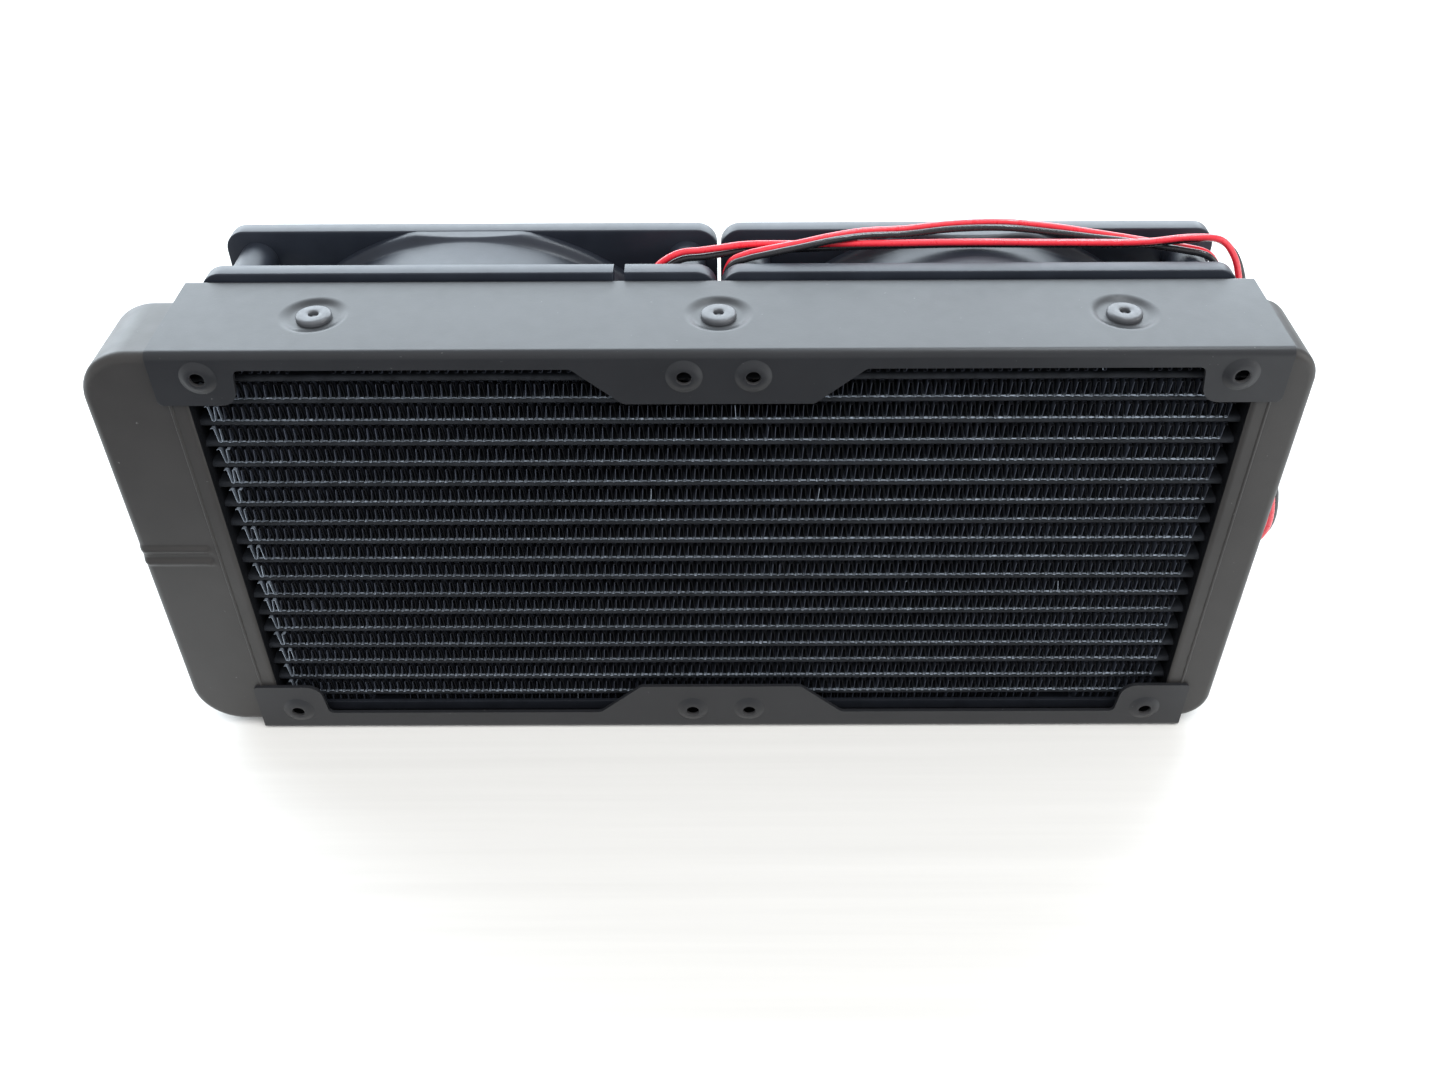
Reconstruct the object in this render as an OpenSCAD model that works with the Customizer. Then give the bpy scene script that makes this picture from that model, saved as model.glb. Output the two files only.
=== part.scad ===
// Liquid cooling radiator, 240 mm class, with two 120 mm fans.
// It stands on its long edge: +X along the core, +Y from the finned front face
// to the fans behind it, +Z up. Millimetres. The origin is at the middle of the
// footprint of the object without its loose fan leads.

/* [Core] */
// Number of flat tubes
tube_count = 18; // [12:1:18]
// Distance from one tube to the next
tube_pitch = 5.87; // [5.6:0.01:5.87]
// Thickness of a flat tube
tube_t = 1.8; // [1.4:0.1:2]
// Wall of a flat tube
tube_wall = 0.3; // [0.2:0.05:0.4]
// Width of a flat tube, front to back
tube_w = 19; // [16:0.5:19]
// Half the distance between the outer ends of the finned length
fin_half = 115; // [110:0.5:115.5]
// Folds drawn in each corrugated fin strip
fin_folds = 12; // [6:1:16]
// Thickness drawn for the fin strip
fin_t = 0.4; // [0.3:0.05:0.5]

/* [Tanks] */
// Length of the wide end tank beyond its seam
left_tank_w = 19; // [18:0.5:22]
// Length of the narrow end tank beyond its seam
right_tank_w = 9; // [9:0.5:14]
// Depth of both tanks, front to back
tank_depth = 24; // [23:0.5:25]
// Wall of the tanks
tank_wall = 1.5; // [1.2:0.1:1.6]
// Outline radius of the wide tank's two outer corners
left_tank_r = 12; // [8:0.5:13]
// Outline radius of the narrow tank's two outer corners
right_tank_r = 8; // [6:0.5:8.5]
// Tapping radius of the two G1/4 ports
port_r = 5.9; // [5.7:0.05:6]

/* [Brackets] */
// Outside height over both brackets
bracket_h = 118.6; // [118.4:0.1:118.8]
// Depth of a bracket, over both flanges
bracket_d = 32; // [31:0.5:33]
// Sheet thickness of the brackets
sheet = 1; // [0.8:0.1:1.2]
// Half the length of the brackets
bracket_half = 123; // [122.5:0.1:124]
// Radius of the tapped holes in the front flanges
mount_hole_r = 1.65; // [1.6:0.05:1.7]
// Radius of the holes in the rear flanges, which take the fan screws
rear_hole_r = 1.85; // [1.83:0.01:1.87]
// Height of the raised collar round each front hole
collar_h = 0.9; // [0.5:0.1:1]

/* [Fans] */
// Side of the square fan frame
fan_w = 120; // [119:0.5:120.4]
// Depth of a fan
fan_d = 25; // [25:0.5:27]
// Thickness of each fan flange
flange_t = 4.3; // [3.8:0.1:4.6]
// Inside radius of the fan's duct
duct_r = 57.5; // [57:0.1:57.8]
// Number of blades
blade_count = 9; // [5:1:11]
// Tip radius of the blades
blade_r = 56.2; // [54:0.1:56.4]
// Outside radius of the impeller hub
hub_r = 20; // [19.5:0.1:20.4]

/* [Leads] */
// Diameter of one fan wire over its insulation
wire_d = 1.6; // [1.4:0.1:1.6]

/* [Hidden] */
$fn = 48;

seam_x = 121;                 // the joint between a tank and its header plate
head_x = 117;                 // outer face of a header plate, towards the fins
tank_y0 = 1;                  // tank front face
tank_z0 = 2.2;                // tank underside
tank_z1 = bracket_h - sheet;  // tank top, under the bracket
core_z = 59.6;                // middle tube position
core_y0 = 3.5;                // front edge of the tubes
core_y1 = core_y0 + tube_w;
part_z = 60.9;                // partition inside the wide tank
row_lo = 7.5;                 // height of the lower hole row
row_hi = 112.5;               // height of the upper hole row
fan_cx = 60.4;                // fan centres, left and right of the middle
fan_cz = 60;
fan_y = bracket_d;            // front face of the fans
head_h = 2.6;                 // fan screw head
mid_x = (left_tank_w - right_tank_w) / 2;
mid_y = (fan_y + fan_d + head_h - collar_h) / 2;
side_t = 1.2;                 // side plate thickness
dim_hi = 1.2;                 // depth of the upper rivet dimples
dim_lo = 1.9;                 // depth of the lower rivet dimples
side_z1 = bracket_h - dim_hi - sheet;   // top of the upper side plate
side_z0 = dim_lo + sheet;               // bottom of the lower side plate
tube_z0 = core_z - (tube_count - 1) * tube_pitch / 2;
rivet_x = [-90, 0, 90];
hole_x = [-112.5, -7.5, 7.5, 112.5];

metal = [0.16, 0.16, 0.17];
fin_col = [0.07, 0.08, 0.10];
plastic = [0.10, 0.11, 0.13];

// Moves a sub-part from the core's own coordinates (x from mid-length, y from
// the front of the brackets, z from the base) to the part's frame.
module place() { translate([mid_x, -mid_y, 0]) children(); }

module rrect(w, h, r) {
  square([w - 2 * r, h], center = true);
  square([w, h - 2 * r], center = true);
  for (x = [-1, 1], y = [-1, 1])
    translate([x * (w / 2 - r), y * (h / 2 - r)]) circle(r = r);
}

// ---------- tanks ----------
// Outline of a tank that grows to -x from its seam at x = 0.
module tank_outline(w, h, r) {
  translate([-w + r, 0]) square([w - r, h]);
  translate([-w, r]) square([w, h - 2 * r]);
  for (z = [r, h - r]) translate([-w + r, z]) circle(r = r, $fn = 96);
}

// Open cup: the open side is at x = 0, towards the header plate.
module tank_cup(w, r) {
  h = tank_z1 - tank_z0;
  difference() {
    intersection() {
      translate([0, tank_depth, 0]) rotate([90, 0, 0])
        linear_extrude(height = tank_depth) tank_outline(w, h, r);
      // rounds the front and back edges of the outer end
      translate([0, 0, -1]) linear_extrude(height = h + 2)
        translate([-w / 2 + 5, tank_depth / 2]) rrect(w + 10, tank_depth, 2.2);
      // rounds the long edges above and below
      translate([-w - 1, 0, 0]) rotate([90, 0, 90])
        linear_extrude(height = w + 1)
          translate([tank_depth / 2, h / 2]) rrect(tank_depth, h, 2.2);
    }
    translate([tank_wall, tank_depth - tank_wall, tank_wall]) rotate([90, 0, 0])
      linear_extrude(height = tank_depth - 2 * tank_wall)
        tank_outline(w, h - 2 * tank_wall, r - tank_wall);
  }
}

port_z = [38, 83];            // heights of the two ports
port_x = -seam_x - left_tank_w / 2;
module left_tank() color(metal) place() difference() {
  union() {
    translate([-seam_x, tank_y0, tank_z0]) tank_cup(left_tank_w, left_tank_r);
    // two pressed beads across the front, either side of the partition
    for (z = [59, 62.8]) intersection() {
      translate([-seam_x - left_tank_w + 1.2, tank_y0 + 3, z]) rotate([0, 90, 0])
        cylinder(r = 3.4, h = left_tank_w - 2.4, $fn = 64);
      translate([-seam_x - left_tank_w, tank_y0 - 1, z - 3])
        cube([left_tank_w, 1.6, 6]);
    }
  }
  for (z = port_z) translate([port_x, tank_y0 + tank_depth - 3, z])
    rotate([-90, 0, 0]) cylinder(r = 8.02, h = 4);
}

module right_tank() color(metal) place()
  translate([seam_x, tank_y0, tank_z0 + tank_z1 - tank_z0]) rotate([0, 180, 0])
    tank_cup(right_tank_w, right_tank_r);

module flat_tube_2d(t, w) {
  square([w - t, t], center = true);
  for (s = [-1, 1]) translate([s * (w - t) / 2, 0]) circle(d = t, $fn = 24);
}

// Shallow cup brazed to the tank's rim, slotted for the tubes. Drawn for the
// right-hand end; the left is its mirror image.
module header_cup() {
  d = tank_depth - 0.8;
  h = tank_z1 - tank_z0 - 0.8;
  difference() {
    translate([head_x, tank_y0 + tank_depth / 2, tank_z0 + 0.4 + h / 2])
      rotate([90, 0, 90]) linear_extrude(height = seam_x - head_x) rrect(d, h, 2);
    translate([head_x + 1.2, tank_y0 + tank_depth / 2, tank_z0 + 0.4 + h / 2])
      rotate([90, 0, 90]) linear_extrude(height = seam_x)
        rrect(d - 2.4, h - 2.4, 1);
    for (i = [0 : tube_count - 1])
      translate([head_x - 1, core_y0 + tube_w / 2, tube_z0 + i * tube_pitch])
        rotate([90, 0, 90]) linear_extrude(height = 4)
          flat_tube_2d(tube_t + 0.04, tube_w + 0.04);
  }
}
module left_header_plate() color(metal * 1.1) place() mirror([1, 0, 0]) header_cup();
module right_header_plate() color(metal * 1.1) place() header_cup();

// Divides the wide tank into an upper and a lower chamber.
module tank_partition() color("silver") place()
  translate([-seam_x - left_tank_w + tank_wall, tank_y0 + tank_wall, part_z - 0.6])
    cube([left_tank_w - tank_wall, tank_depth - 2 * tank_wall, 1.2]);

module port(z) place() translate([port_x, tank_y0 + tank_depth, z])
  rotate([-90, 0, 0]) difference() {
    union() {
      translate([0, 0, -8]) cylinder(r = 8, h = 9);
      cylinder(r = 9, h = 3.4);
    }
    translate([0, 0, -9]) cylinder(r = port_r, h = 14);
    // lead-in chamfer and seat for a sealing ring
    translate([0, 0, 2.6]) cylinder(r1 = port_r, r2 = port_r + 0.9, h = 0.81);
  }
module inlet_port() color("silver") port(port_z[1]);
module outlet_port() color("silver") port(port_z[0]);

// ---------- core ----------
module flat_tubes() color(fin_col) place() for (i = [0 : tube_count - 1])
  translate([-head_x - 2.5, core_y0 + tube_w / 2, tube_z0 + i * tube_pitch])
    rotate([90, 0, 90]) linear_extrude(height = 2 * head_x + 5) difference() {
      flat_tube_2d(tube_t, tube_w);
      flat_tube_2d(tube_t - 2 * tube_wall, tube_w - 2 * tube_wall);
    }

// Centre line of a corrugated strip as crest points, from -fin_half to fin_half.
function crest(n, h) = [for (i = [0 : 2 * n], s = [-1, 1])
  let (x = -fin_half + 1.2 + i * (fin_half - 1.2) / n)
    [x + s * 1.1, (i % 2 == 0 ? -1 : 1) * (h / 2 - fin_t / 2)]];
module fin_strip(h, d) {
  c = crest(fin_folds, h);
  m = len(c) - 1;
  translate([0, d, 0]) rotate([90, 0, 0]) linear_extrude(height = d)
    polygon(concat([for (p = c) p + [0, fin_t / 2]],
                   [for (i = [m : -1 : 0]) c[i] - [0, fin_t / 2]]));
}
module cooling_fins() color(fin_col) place() {
  gap = tube_pitch - tube_t;
  lo = side_z0 + side_t;
  hi = side_z1 - side_t;
  lo_h = tube_z0 - tube_t / 2 - lo;
  hi_z = tube_z0 + (tube_count - 1) * tube_pitch + tube_t / 2;
  for (i = [1 : tube_count - 1])
    translate([0, core_y0, tube_z0 + (i - 0.5) * tube_pitch]) fin_strip(gap - 0.02, tube_w);
  // the two outer strips stand between the lips of the side plates and
  // are cut away round the rivets
  for (r = [[lo, lo_h], [hi_z, hi - hi_z]]) difference() {
    translate([0, core_y0 + 1.2, r[0] + r[1] / 2]) fin_strip(r[1] - 0.02, tube_w - 2.4);
    for (x = rivet_x) translate([x - 4, core_y0, r[0] - 1])
      cube([8, tube_w, r[1] + 2]);
  }
}

// Channel along the outside of the core; its lips cover the outer fin strip.
module side_plate(z, s) place() difference() {
  union() {
    translate([-head_x, core_y0, z]) cube([2 * head_x, tube_w, side_t]);
    for (y = [core_y0, core_y1 - 1])
      translate([-head_x + 1.5, y, s > 0 ? z : z - 2.8])
        cube([2 * head_x - 3, 1, side_t + 2.8]);
  }
  for (x = rivet_x) translate([x, 16, z - 1]) cylinder(r = 2.05, h = side_t + 2);
  // scallops in the lips that clear a screw in a flange hole
  for (x = hole_x) translate([x, 0, s > 0 ? row_lo : row_hi]) rotate([-90, 0, 0])
    cylinder(r = 2.2, h = bracket_d);
}
module upper_side_plate() color(fin_col) side_plate(side_z1 - side_t, -1);
module lower_side_plate() color(fin_col) side_plate(side_z0, 1);

// ---------- brackets ----------
// Channel section with rounded bends: web on top, flanges down by h.
module channel_2d(h) difference() {
  union() {
    translate([0, -h]) square([bracket_d, h - 1.8]);
    translate([1.8, -h]) square([bracket_d - 3.6, h]);
    for (y = [1.8, bracket_d - 1.8]) translate([y, -1.8]) circle(r = 1.8);
  }
  translate([sheet, -h - 1]) square([bracket_d - 2 * sheet, h + 1 - sheet - 0.8]);
  translate([sheet + 0.8, -h - 1]) square([bracket_d - 2 * sheet - 1.6, h + 1 - sheet]);
  for (y = [sheet + 0.8, bracket_d - sheet - 0.8])
    translate([y, -sheet - 0.8]) circle(r = 0.8);
}

// Cut between the tabs of one flange, as seen from the front, on the +x side.
// t is the depth of the tabs and s the depth of the strip between them.
module window_2d(t, s) {
  polygon([[32, -s], [104.6, -s], [105.8, -t - 1], [21, -t - 1], [21, -t]]);
  difference() {
    translate([105, -t - 1]) square([4.6, 5]);
    translate([109.6, -t + 4]) circle(r = 4);
    translate([105.6, -t + 4]) square([10, 5]);
  }
}

// Bracket with its web uppermost: t tab depth, s strip depth, hr hole row
// below the top, dd dimple depth.
module bracket(t, s, hr, dd) {
  difference() {
    union() {
      translate([-bracket_half, 0, 0]) rotate([90, 0, 90])
        linear_extrude(height = 2 * bracket_half) channel_2d(t);
      for (x = rivet_x) translate([x, 16, -dd - sheet]) cylinder(r = 8, h = dd + sheet - 0.2);
      for (x = hole_x) translate([x, 0.2, -hr]) rotate([90, 0, 0])
        cylinder(r1 = 4, r2 = 2.5, h = collar_h + 0.2);
    }
    for (m = [0, 1]) mirror([m, 0, 0])
      translate([0, bracket_d + 1, 0]) rotate([90, 0, 0])
        linear_extrude(height = bracket_d + 2) window_2d(t, s);
    for (x = rivet_x) {
      translate([x, 16, -dd]) cylinder(r = 7.2, h = dd + 1);
      translate([x, 16, -dd - sheet - 1]) cylinder(r = 2.05, h = dd + 2);
    }
    for (x = hole_x) {
      translate([x, -2, -hr]) rotate([-90, 0, 0])
        cylinder(r = mount_hole_r, h = bracket_d / 2);
      translate([x, bracket_d / 2, -hr]) rotate([-90, 0, 0])
        cylinder(r = rear_hole_r, h = bracket_d / 2 + 2);
    }
  }
}
module top_bracket() color(metal * 1.3) place()
  translate([0, 0, bracket_h]) bracket(13.3, 4.3, bracket_h - row_hi, dim_hi);
module bottom_bracket() color(metal * 1.3) place()
  mirror([0, 0, 1]) bracket(15.9, 6.2, row_lo, dim_lo);

// Blind rivet: head at z = 0 upwards, shank and formed end below.
module rivet(grip) difference() {
  union() {
    cylinder(r1 = 4, r2 = 3.6, h = 1.8);
    translate([0, 0, -grip - 1]) cylinder(r = 2, h = grip + 1.5);
    translate([0, 0, -grip - 2]) cylinder(r = 2.8, h = 2);
  }
  translate([0, 0, -0.6]) cylinder(r = 1.35, h = 4);
}
module top_rivets() color("dimgray") place() for (x = rivet_x)
  translate([x, 16, bracket_h - dim_hi]) rivet(sheet + side_t);
module bottom_rivets() color("dimgray") place() for (x = rivet_x)
  translate([x, 16, dim_lo]) mirror([0, 0, 1]) rivet(sheet + side_t);

// ---------- fans ----------
// Fan coordinates: z along the axis from the strut side (against the radiator)
// to the open rear face, x and y across.
module fan_at(side) place() translate([side * fan_cx, fan_y, fan_cz])
  rotate([90, 0, 180]) rotate([0, 0, side > 0 ? -90 : 0]) children();

lead_ang = 122;               // direction of the strut that carries the lead
module fan_frame() color(plastic) {
  difference() {
    union() {
      for (z = [0, fan_d - flange_t]) translate([0, 0, z])
        linear_extrude(height = flange_t) rrect(fan_w, fan_w, 5);
      cylinder(r = 59.2, h = fan_d, $fn = 180);
      translate([0, 0, fan_d - flange_t - 3.2]) cylinder(r = 59.7, h = 4, $fn = 180);
      for (x = [-52.5, 52.5], y = [-52.5, 52.5]) translate([x, y, 1])
        cylinder(r = 4.6, h = fan_d - 2);
    }
    translate([0, 0, -1]) cylinder(r = duct_r, h = fan_d + 2, $fn = 180);
    for (x = [-52.5, 52.5], y = [-52.5, 52.5]) translate([x, y, -1])
      cylinder(r = 2.15, h = fan_d + 2);
    // slot that lets the lead out through the edge of the strut-side flange
    translate([-38.6, 42, -1]) cube([2.6, 20, flange_t + 4.4]);
  }
  // four struts carry the motor base
  for (k = [0 : 3]) rotate([0, 0, lead_ang + 90 * k])
    translate([19, -2, 0.6]) cube([39.2, 4, 3.8]);
  difference() {
    union() {
      translate([0, 0, 0.5]) cylinder(r = 20.4, h = 2.5);
      cylinder(r = 4.6, h = 18.5);
    }
    translate([0, 0, 1.2]) cylinder(r = 3, h = 20);
    translate([0, 0, -1]) cylinder(r = 6, h = 1.5);
  }
}

// One blade as a closed skin: r stations from the hub to the tip, c stations
// across the chord; the pitch falls towards the tip.
function blade_pt(u, v, s) =
  let (r = 19.2 + u * (blade_r - 19.2),
       sweep = -16 * u,
       a = sweep + (v - 0.5) * (34 - 6 * u),
       camber = 2.2 * (1 - pow(2 * v - 1, 2)),
       z = 14.2 + (v - 0.5) * (14.5 - 2.5 * u) + camber * 0.6,
       t = (0.9 - 0.25 * u) * (0.35 + 0.65 * sqrt(max(0, 1 - pow(2 * v - 1, 2)))))
    [r * cos(a), r * sin(a), z + s * t];
module blade(nu, nv) {
  m = nv + 1;
  k = (nu + 1) * m;
  pts = concat(
    [for (i = [0 : nu], j = [0 : nv]) blade_pt(i / nu, j / nv, 1)],
    [for (i = [0 : nu], j = [0 : nv]) blade_pt(i / nu, j / nv, -1)]);
  polyhedron(points = pts, faces = concat(
    [for (i = [0 : nu - 1], j = [0 : nv - 1]) [i * m + j, i * m + j + 1, (i + 1) * m + j + 1]],
    [for (i = [0 : nu - 1], j = [0 : nv - 1]) [i * m + j, (i + 1) * m + j + 1, (i + 1) * m + j]],
    [for (i = [0 : nu - 1], j = [0 : nv - 1]) [k + i * m + j, k + (i + 1) * m + j + 1, k + i * m + j + 1]],
    [for (i = [0 : nu - 1], j = [0 : nv - 1]) [k + i * m + j, k + (i + 1) * m + j, k + (i + 1) * m + j + 1]],
    [for (i = [0 : nu - 1]) [i * m, (i + 1) * m, k + (i + 1) * m]],
    [for (i = [0 : nu - 1]) [i * m, k + (i + 1) * m, k + i * m]],
    [for (i = [0 : nu - 1]) [i * m + nv, k + (i + 1) * m + nv, (i + 1) * m + nv]],
    [for (i = [0 : nu - 1]) [i * m + nv, k + i * m + nv, k + (i + 1) * m + nv]],
    [for (j = [0 : nv - 1]) [j, k + j + 1, j + 1]],
    [for (j = [0 : nv - 1]) [j, k + j, k + j + 1]],
    [for (j = [0 : nv - 1]) [nu * m + j, nu * m + j + 1, k + nu * m + j + 1]],
    [for (j = [0 : nv - 1]) [nu * m + j, k + nu * m + j + 1, k + nu * m + j]]));
}
module impeller() color(plastic) {
  difference() {
    translate([0, 0, 5.2]) cylinder(r = hub_r, h = 18.3, $fn = 96);
    translate([0, 0, 4.2]) cylinder(r = 18.4, h = 17.5, $fn = 96);
  }
  difference() {
    translate([0, 0, 19.6]) cylinder(r = 3.2, h = 3);
    translate([0, 0, 18]) cylinder(r = 1.5, h = 3.7);
  }
  for (k = [0 : blade_count - 1]) rotate([0, 0, k * 360 / blade_count]) blade(4, 4);
}
module rotor_yoke() color("dimgray") translate([0, 0, 6.5]) difference() {
  cylinder(r = 18.4, h = 14.5, $fn = 96);
  translate([0, 0, -1]) cylinder(r = 17.6, h = 17, $fn = 96);
}
module rotor_magnet() color([0.2, 0.18, 0.17]) translate([0, 0, 6.5]) difference() {
  cylinder(r = 17.6, h = 12, $fn = 96);
  translate([0, 0, -1]) cylinder(r = 16, h = 14, $fn = 96);
}
module rotor_shaft() color("silver") difference() {
  translate([0, 0, 1.7]) cylinder(r = 1.5, h = 20);
  translate([0, 0, 2.2]) difference() {
    cylinder(r = 2, h = 0.55);
    translate([0, 0, -1]) cylinder(r = 1.2, h = 3);
  }
}
module shaft_clip() color("whitesmoke") translate([0, 0, 2.25]) difference() {
  cylinder(r = 2.4, h = 0.45);
  translate([0, 0, -1]) cylinder(r = 1.24, h = 3);
  translate([0, -0.5, -1]) cube([4, 1, 3]);
}
module bearing_sleeve() color("goldenrod") translate([0, 0, 3.4]) difference() {
  cylinder(r = 3, h = 14.6);
  translate([0, 0, -1]) cylinder(r = 1.53, h = 17);
}
module stator_core() color("gray") translate([0, 0, 8]) linear_extrude(height = 5)
  difference() {
    union() {
      circle(r = 7);
      for (k = [0 : 3]) rotate(45 + 90 * k) translate([5, -2]) square([8.6, 4]);
      intersection() {
        difference() { circle(r = 15.3); circle(r = 13); }
        for (k = [0 : 3]) rotate(45 + 90 * k)
          polygon([[0, 0], [20, -13], [20, 13]]);
      }
    }
    circle(r = 4.62);
  }
module stator_windings() color([0.72, 0.42, 0.2]) for (k = [0 : 3])
  rotate([0, 0, 45 + 90 * k]) translate([7.6, 0, 10.5]) difference() {
    translate([0, -4, -4]) cube([4.6, 8, 8]);
    translate([-1, -2.1, -2.6]) cube([8, 4.2, 5.2]);
  }
module circuit_board() color("darkgreen") translate([0, 0, 3]) difference() {
  cylinder(r = 17.2, h = 1.1);
  translate([0, 0, -1]) cylinder(r = 4.7, h = 4);
}
module motor_label() color([0.25, 0.25, 0.27]) translate([0, 0, 0.3]) difference() {
  cylinder(r = 18.4, h = 0.2);
  translate([0, 0, -1]) cylinder(r = 6.2, h = 4);
}
// Long pan-head screw through a fan into the tapped rear flange. The fans'
// holes stand 0.4 mm off the tapped ones, inside their clearance.
module fan_screws(side) color([0.2, 0.2, 0.21]) place()
  for (x = [-52.5, 52.5], z = [row_lo, row_hi])
    translate([side * 60 + x, fan_y + fan_d, z]) rotate([-90, 0, 0]) difference() {
      union() {
        cylinder(r1 = 3.7, r2 = 3, h = head_h);
        translate([0, 0, -fan_d - 1]) cylinder(r = 1.6, h = fan_d + 1.2);
        // threaded end, in the rear flange
        translate([0, 0, -fan_d - 3.2]) cylinder(r = rear_hole_r - 0.05, h = 3.15);
      }
      for (a = [45, 135]) rotate([0, 0, a]) translate([-2, -0.4, head_h - 1.2])
        cube([4, 0.8, 2]);
    }

module left_fan_screws() fan_screws(-1);
module right_fan_screws() fan_screws(1);
module left_fan_frame() fan_at(-1) fan_frame();
module left_impeller() fan_at(-1) impeller();
module left_rotor_yoke() fan_at(-1) rotor_yoke();
module left_rotor_magnet() fan_at(-1) rotor_magnet();
module left_rotor_shaft() fan_at(-1) rotor_shaft();
module left_shaft_clip() fan_at(-1) shaft_clip();
module left_bearing_sleeve() fan_at(-1) bearing_sleeve();
module left_stator_core() fan_at(-1) stator_core();
module left_stator_windings() fan_at(-1) stator_windings();
module left_circuit_board() fan_at(-1) circuit_board();
module left_motor_label() fan_at(-1) motor_label();
module right_fan_frame() fan_at(1) fan_frame();
module right_impeller() fan_at(1) impeller();
module right_rotor_yoke() fan_at(1) rotor_yoke();
module right_rotor_magnet() fan_at(1) rotor_magnet();
module right_rotor_shaft() fan_at(1) rotor_shaft();
module right_shaft_clip() fan_at(1) shaft_clip();
module right_bearing_sleeve() fan_at(1) bearing_sleeve();
module right_stator_core() fan_at(1) stator_core();
module right_stator_windings() fan_at(1) stator_windings();
module right_circuit_board() fan_at(1) circuit_board();
module right_motor_label() fan_at(1) motor_label();

// ---------- fan leads ----------
// Routes in the core's coordinates, from the slot in the fan's flange, along
// the top between the flanges, down behind the narrow tank and back along the
// table to a small coil behind the right-hand fan. Each row is x, y and z of
// the red wire, and the direction in degrees in which the black one lies
// beside it, turned about the wire: 90 in front, 180 below, 270 behind.
route_l = [[-23.2, 35, 106.8, 235], [-22.8, 38.4, 107.6, 195], [-18.8, 40.4, 111.4, 180],
  [-14, 40.6, 117.5, 180], [-9.4, 41, 120.1, 180], [-4, 42, 120.3, 180],
  [1, 43, 120.5, 185], [6, 43.8, 120.8, 190], [19, 43.8, 120.9, 200],
  [38, 43.2, 121.3, 220], [60, 43.2, 121.5, 225], [82, 43.4, 121.2, 225],
  [101, 43.6, 121.2, 225], [112, 43.8, 122.2, 225], [118.6, 43.9, 121.4, 245],
  [122.6, 44.1, 117.2, 280], [125.2, 44.5, 111.6, 305], [128, 45, 102, 320],
  [134, 46, 84, 320], [144, 48, 60, 320], [154, 50, 39, 320], [157, 54.6, 21, 310],
  [150.6, 61.6, 7.8, 285], [140, 68.2, 2.2, 270], [126, 71, 0.9, 270],
  [110.4, 71.3, 0.95, 270]];
route_r = [[13.6, 35, 97.4, 250], [12.4, 38.4, 98, 190], [8.6, 39.8, 101.2, 140],
  [3.4, 40.3, 107, 110], [1.6, 40.4, 113, 90], [2.8, 40.6, 118, 90],
  [6, 40.7, 119.8, 100], [11, 40.9, 121, 100], [19, 41.8, 122.2, 95],
  [26, 43.6, 122.9, 95], [34, 45.6, 123.2, 100], [44, 46.9, 123.1, 105],
  [55, 48, 123.8, 105], [68, 48.4, 124, 110], [80, 48.6, 122.6, 110],
  [90, 49, 120.8, 100], [98, 48.9, 119.5, 90], [105, 47.6, 118.8, 90],
  [111, 45.8, 118.6, 90], [116.4, 43.6, 117.8, 90], [120.4, 43.6, 111.6, 90],
  [124.2, 44.4, 101, 90], [130.2, 45.4, 82, 90], [140, 47.2, 59, 90],
  [149.4, 50, 37, 90], [151.4, 54.6, 18, 90], [147.2, 59.2, 5.2, 90],
  [138, 62.6, 1.4, 90], [120, 64.8, 0.9, 90], [92, 66.4, 0.9, 90], [68.6, 68, 0.95, 90]];
pair_gap = 1.8;           // from the red wire's centre line to the black one's
// last stretch of each wire, from its coil into its plug
tail_lr = [[99.4, 71.3, 4.45], [95, 71.1, 3.7], [90, 70.9, 3]];
tail_lb = [[96.8, 73, 4.45], [93.6, 73.2, 3.7], [90, 73.4, 3]];
tail_rr = [[54.8, 68, 4.45], [51.6, 68.2, 3.7], [48, 68.4, 3]];
tail_rb = [[57.4, 66.3, 4.45], [53, 66.1, 3.7], [48, 65.9, 3]];
coil_l = [104, 81];           // centre of the left fan's coil
coil_r = [62, 76];            // centre of the right fan's coil
plug_l = [90, 72.15];         // middle of the cable face of each plug
plug_r = [48, 67.15];

function unit(v) = v / norm(v);
function tangent(p, i) = unit(i == 0 ? p[1] - p[0]
  : i == len(p) - 1 ? p[i] - p[i - 1] : unit(p[i + 1] - p[i]) + unit(p[i] - p[i - 1]));
function red_line(q) = [for (a = q) [a[0], a[1], a[2]]];
function black_line(q) = let (p = red_line(q)) [for (i = [0 : len(p) - 1])
  let (t = tangent(p, i), u = unit(cross(t, [0, 1, 0.02])), v = cross(t, u))
    p[i] + pair_gap * (cos(q[i][3]) * u + sin(q[i][3]) * v)];
module wire(p, r, n) {
  m = len(p);
  pts = [for (i = [0 : m - 1])
    let (t = tangent(p, i), u = unit(cross(t, [0, 1, 0.02])), v = cross(t, u))
      for (k = [0 : n - 1]) p[i] + r * (cos(360 * k / n) * u + sin(360 * k / n) * v)];
  polyhedron(points = pts, faces = concat(
    [[for (k = [0 : n - 1]) k]],
    [for (i = [0 : m - 2], k = [0 : n - 1])
      [i * n + k, (i + 1) * n + k, (i + 1) * n + (k + 1) % n]],
    [for (i = [0 : m - 2], k = [0 : n - 1])
      [i * n + k, (i + 1) * n + (k + 1) % n, i * n + (k + 1) % n]],
    [[for (k = [n - 1 : -1 : 0]) (m - 1) * n + k]]));
}
module lead(p, t) place() {
  wire(p, wire_d / 2, 8);
  wire(t, wire_d / 2, 8);
}
module left_lead_red() color("red") lead(red_line(route_l), tail_lr);
module left_lead_black() color([0.05, 0.05, 0.05]) lead(black_line(route_l), tail_lb);
module right_lead_red() color("red") lead(red_line(route_r), tail_rr);
module right_lead_black() color([0.05, 0.05, 0.05]) lead(black_line(route_r), tail_rb);

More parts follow.
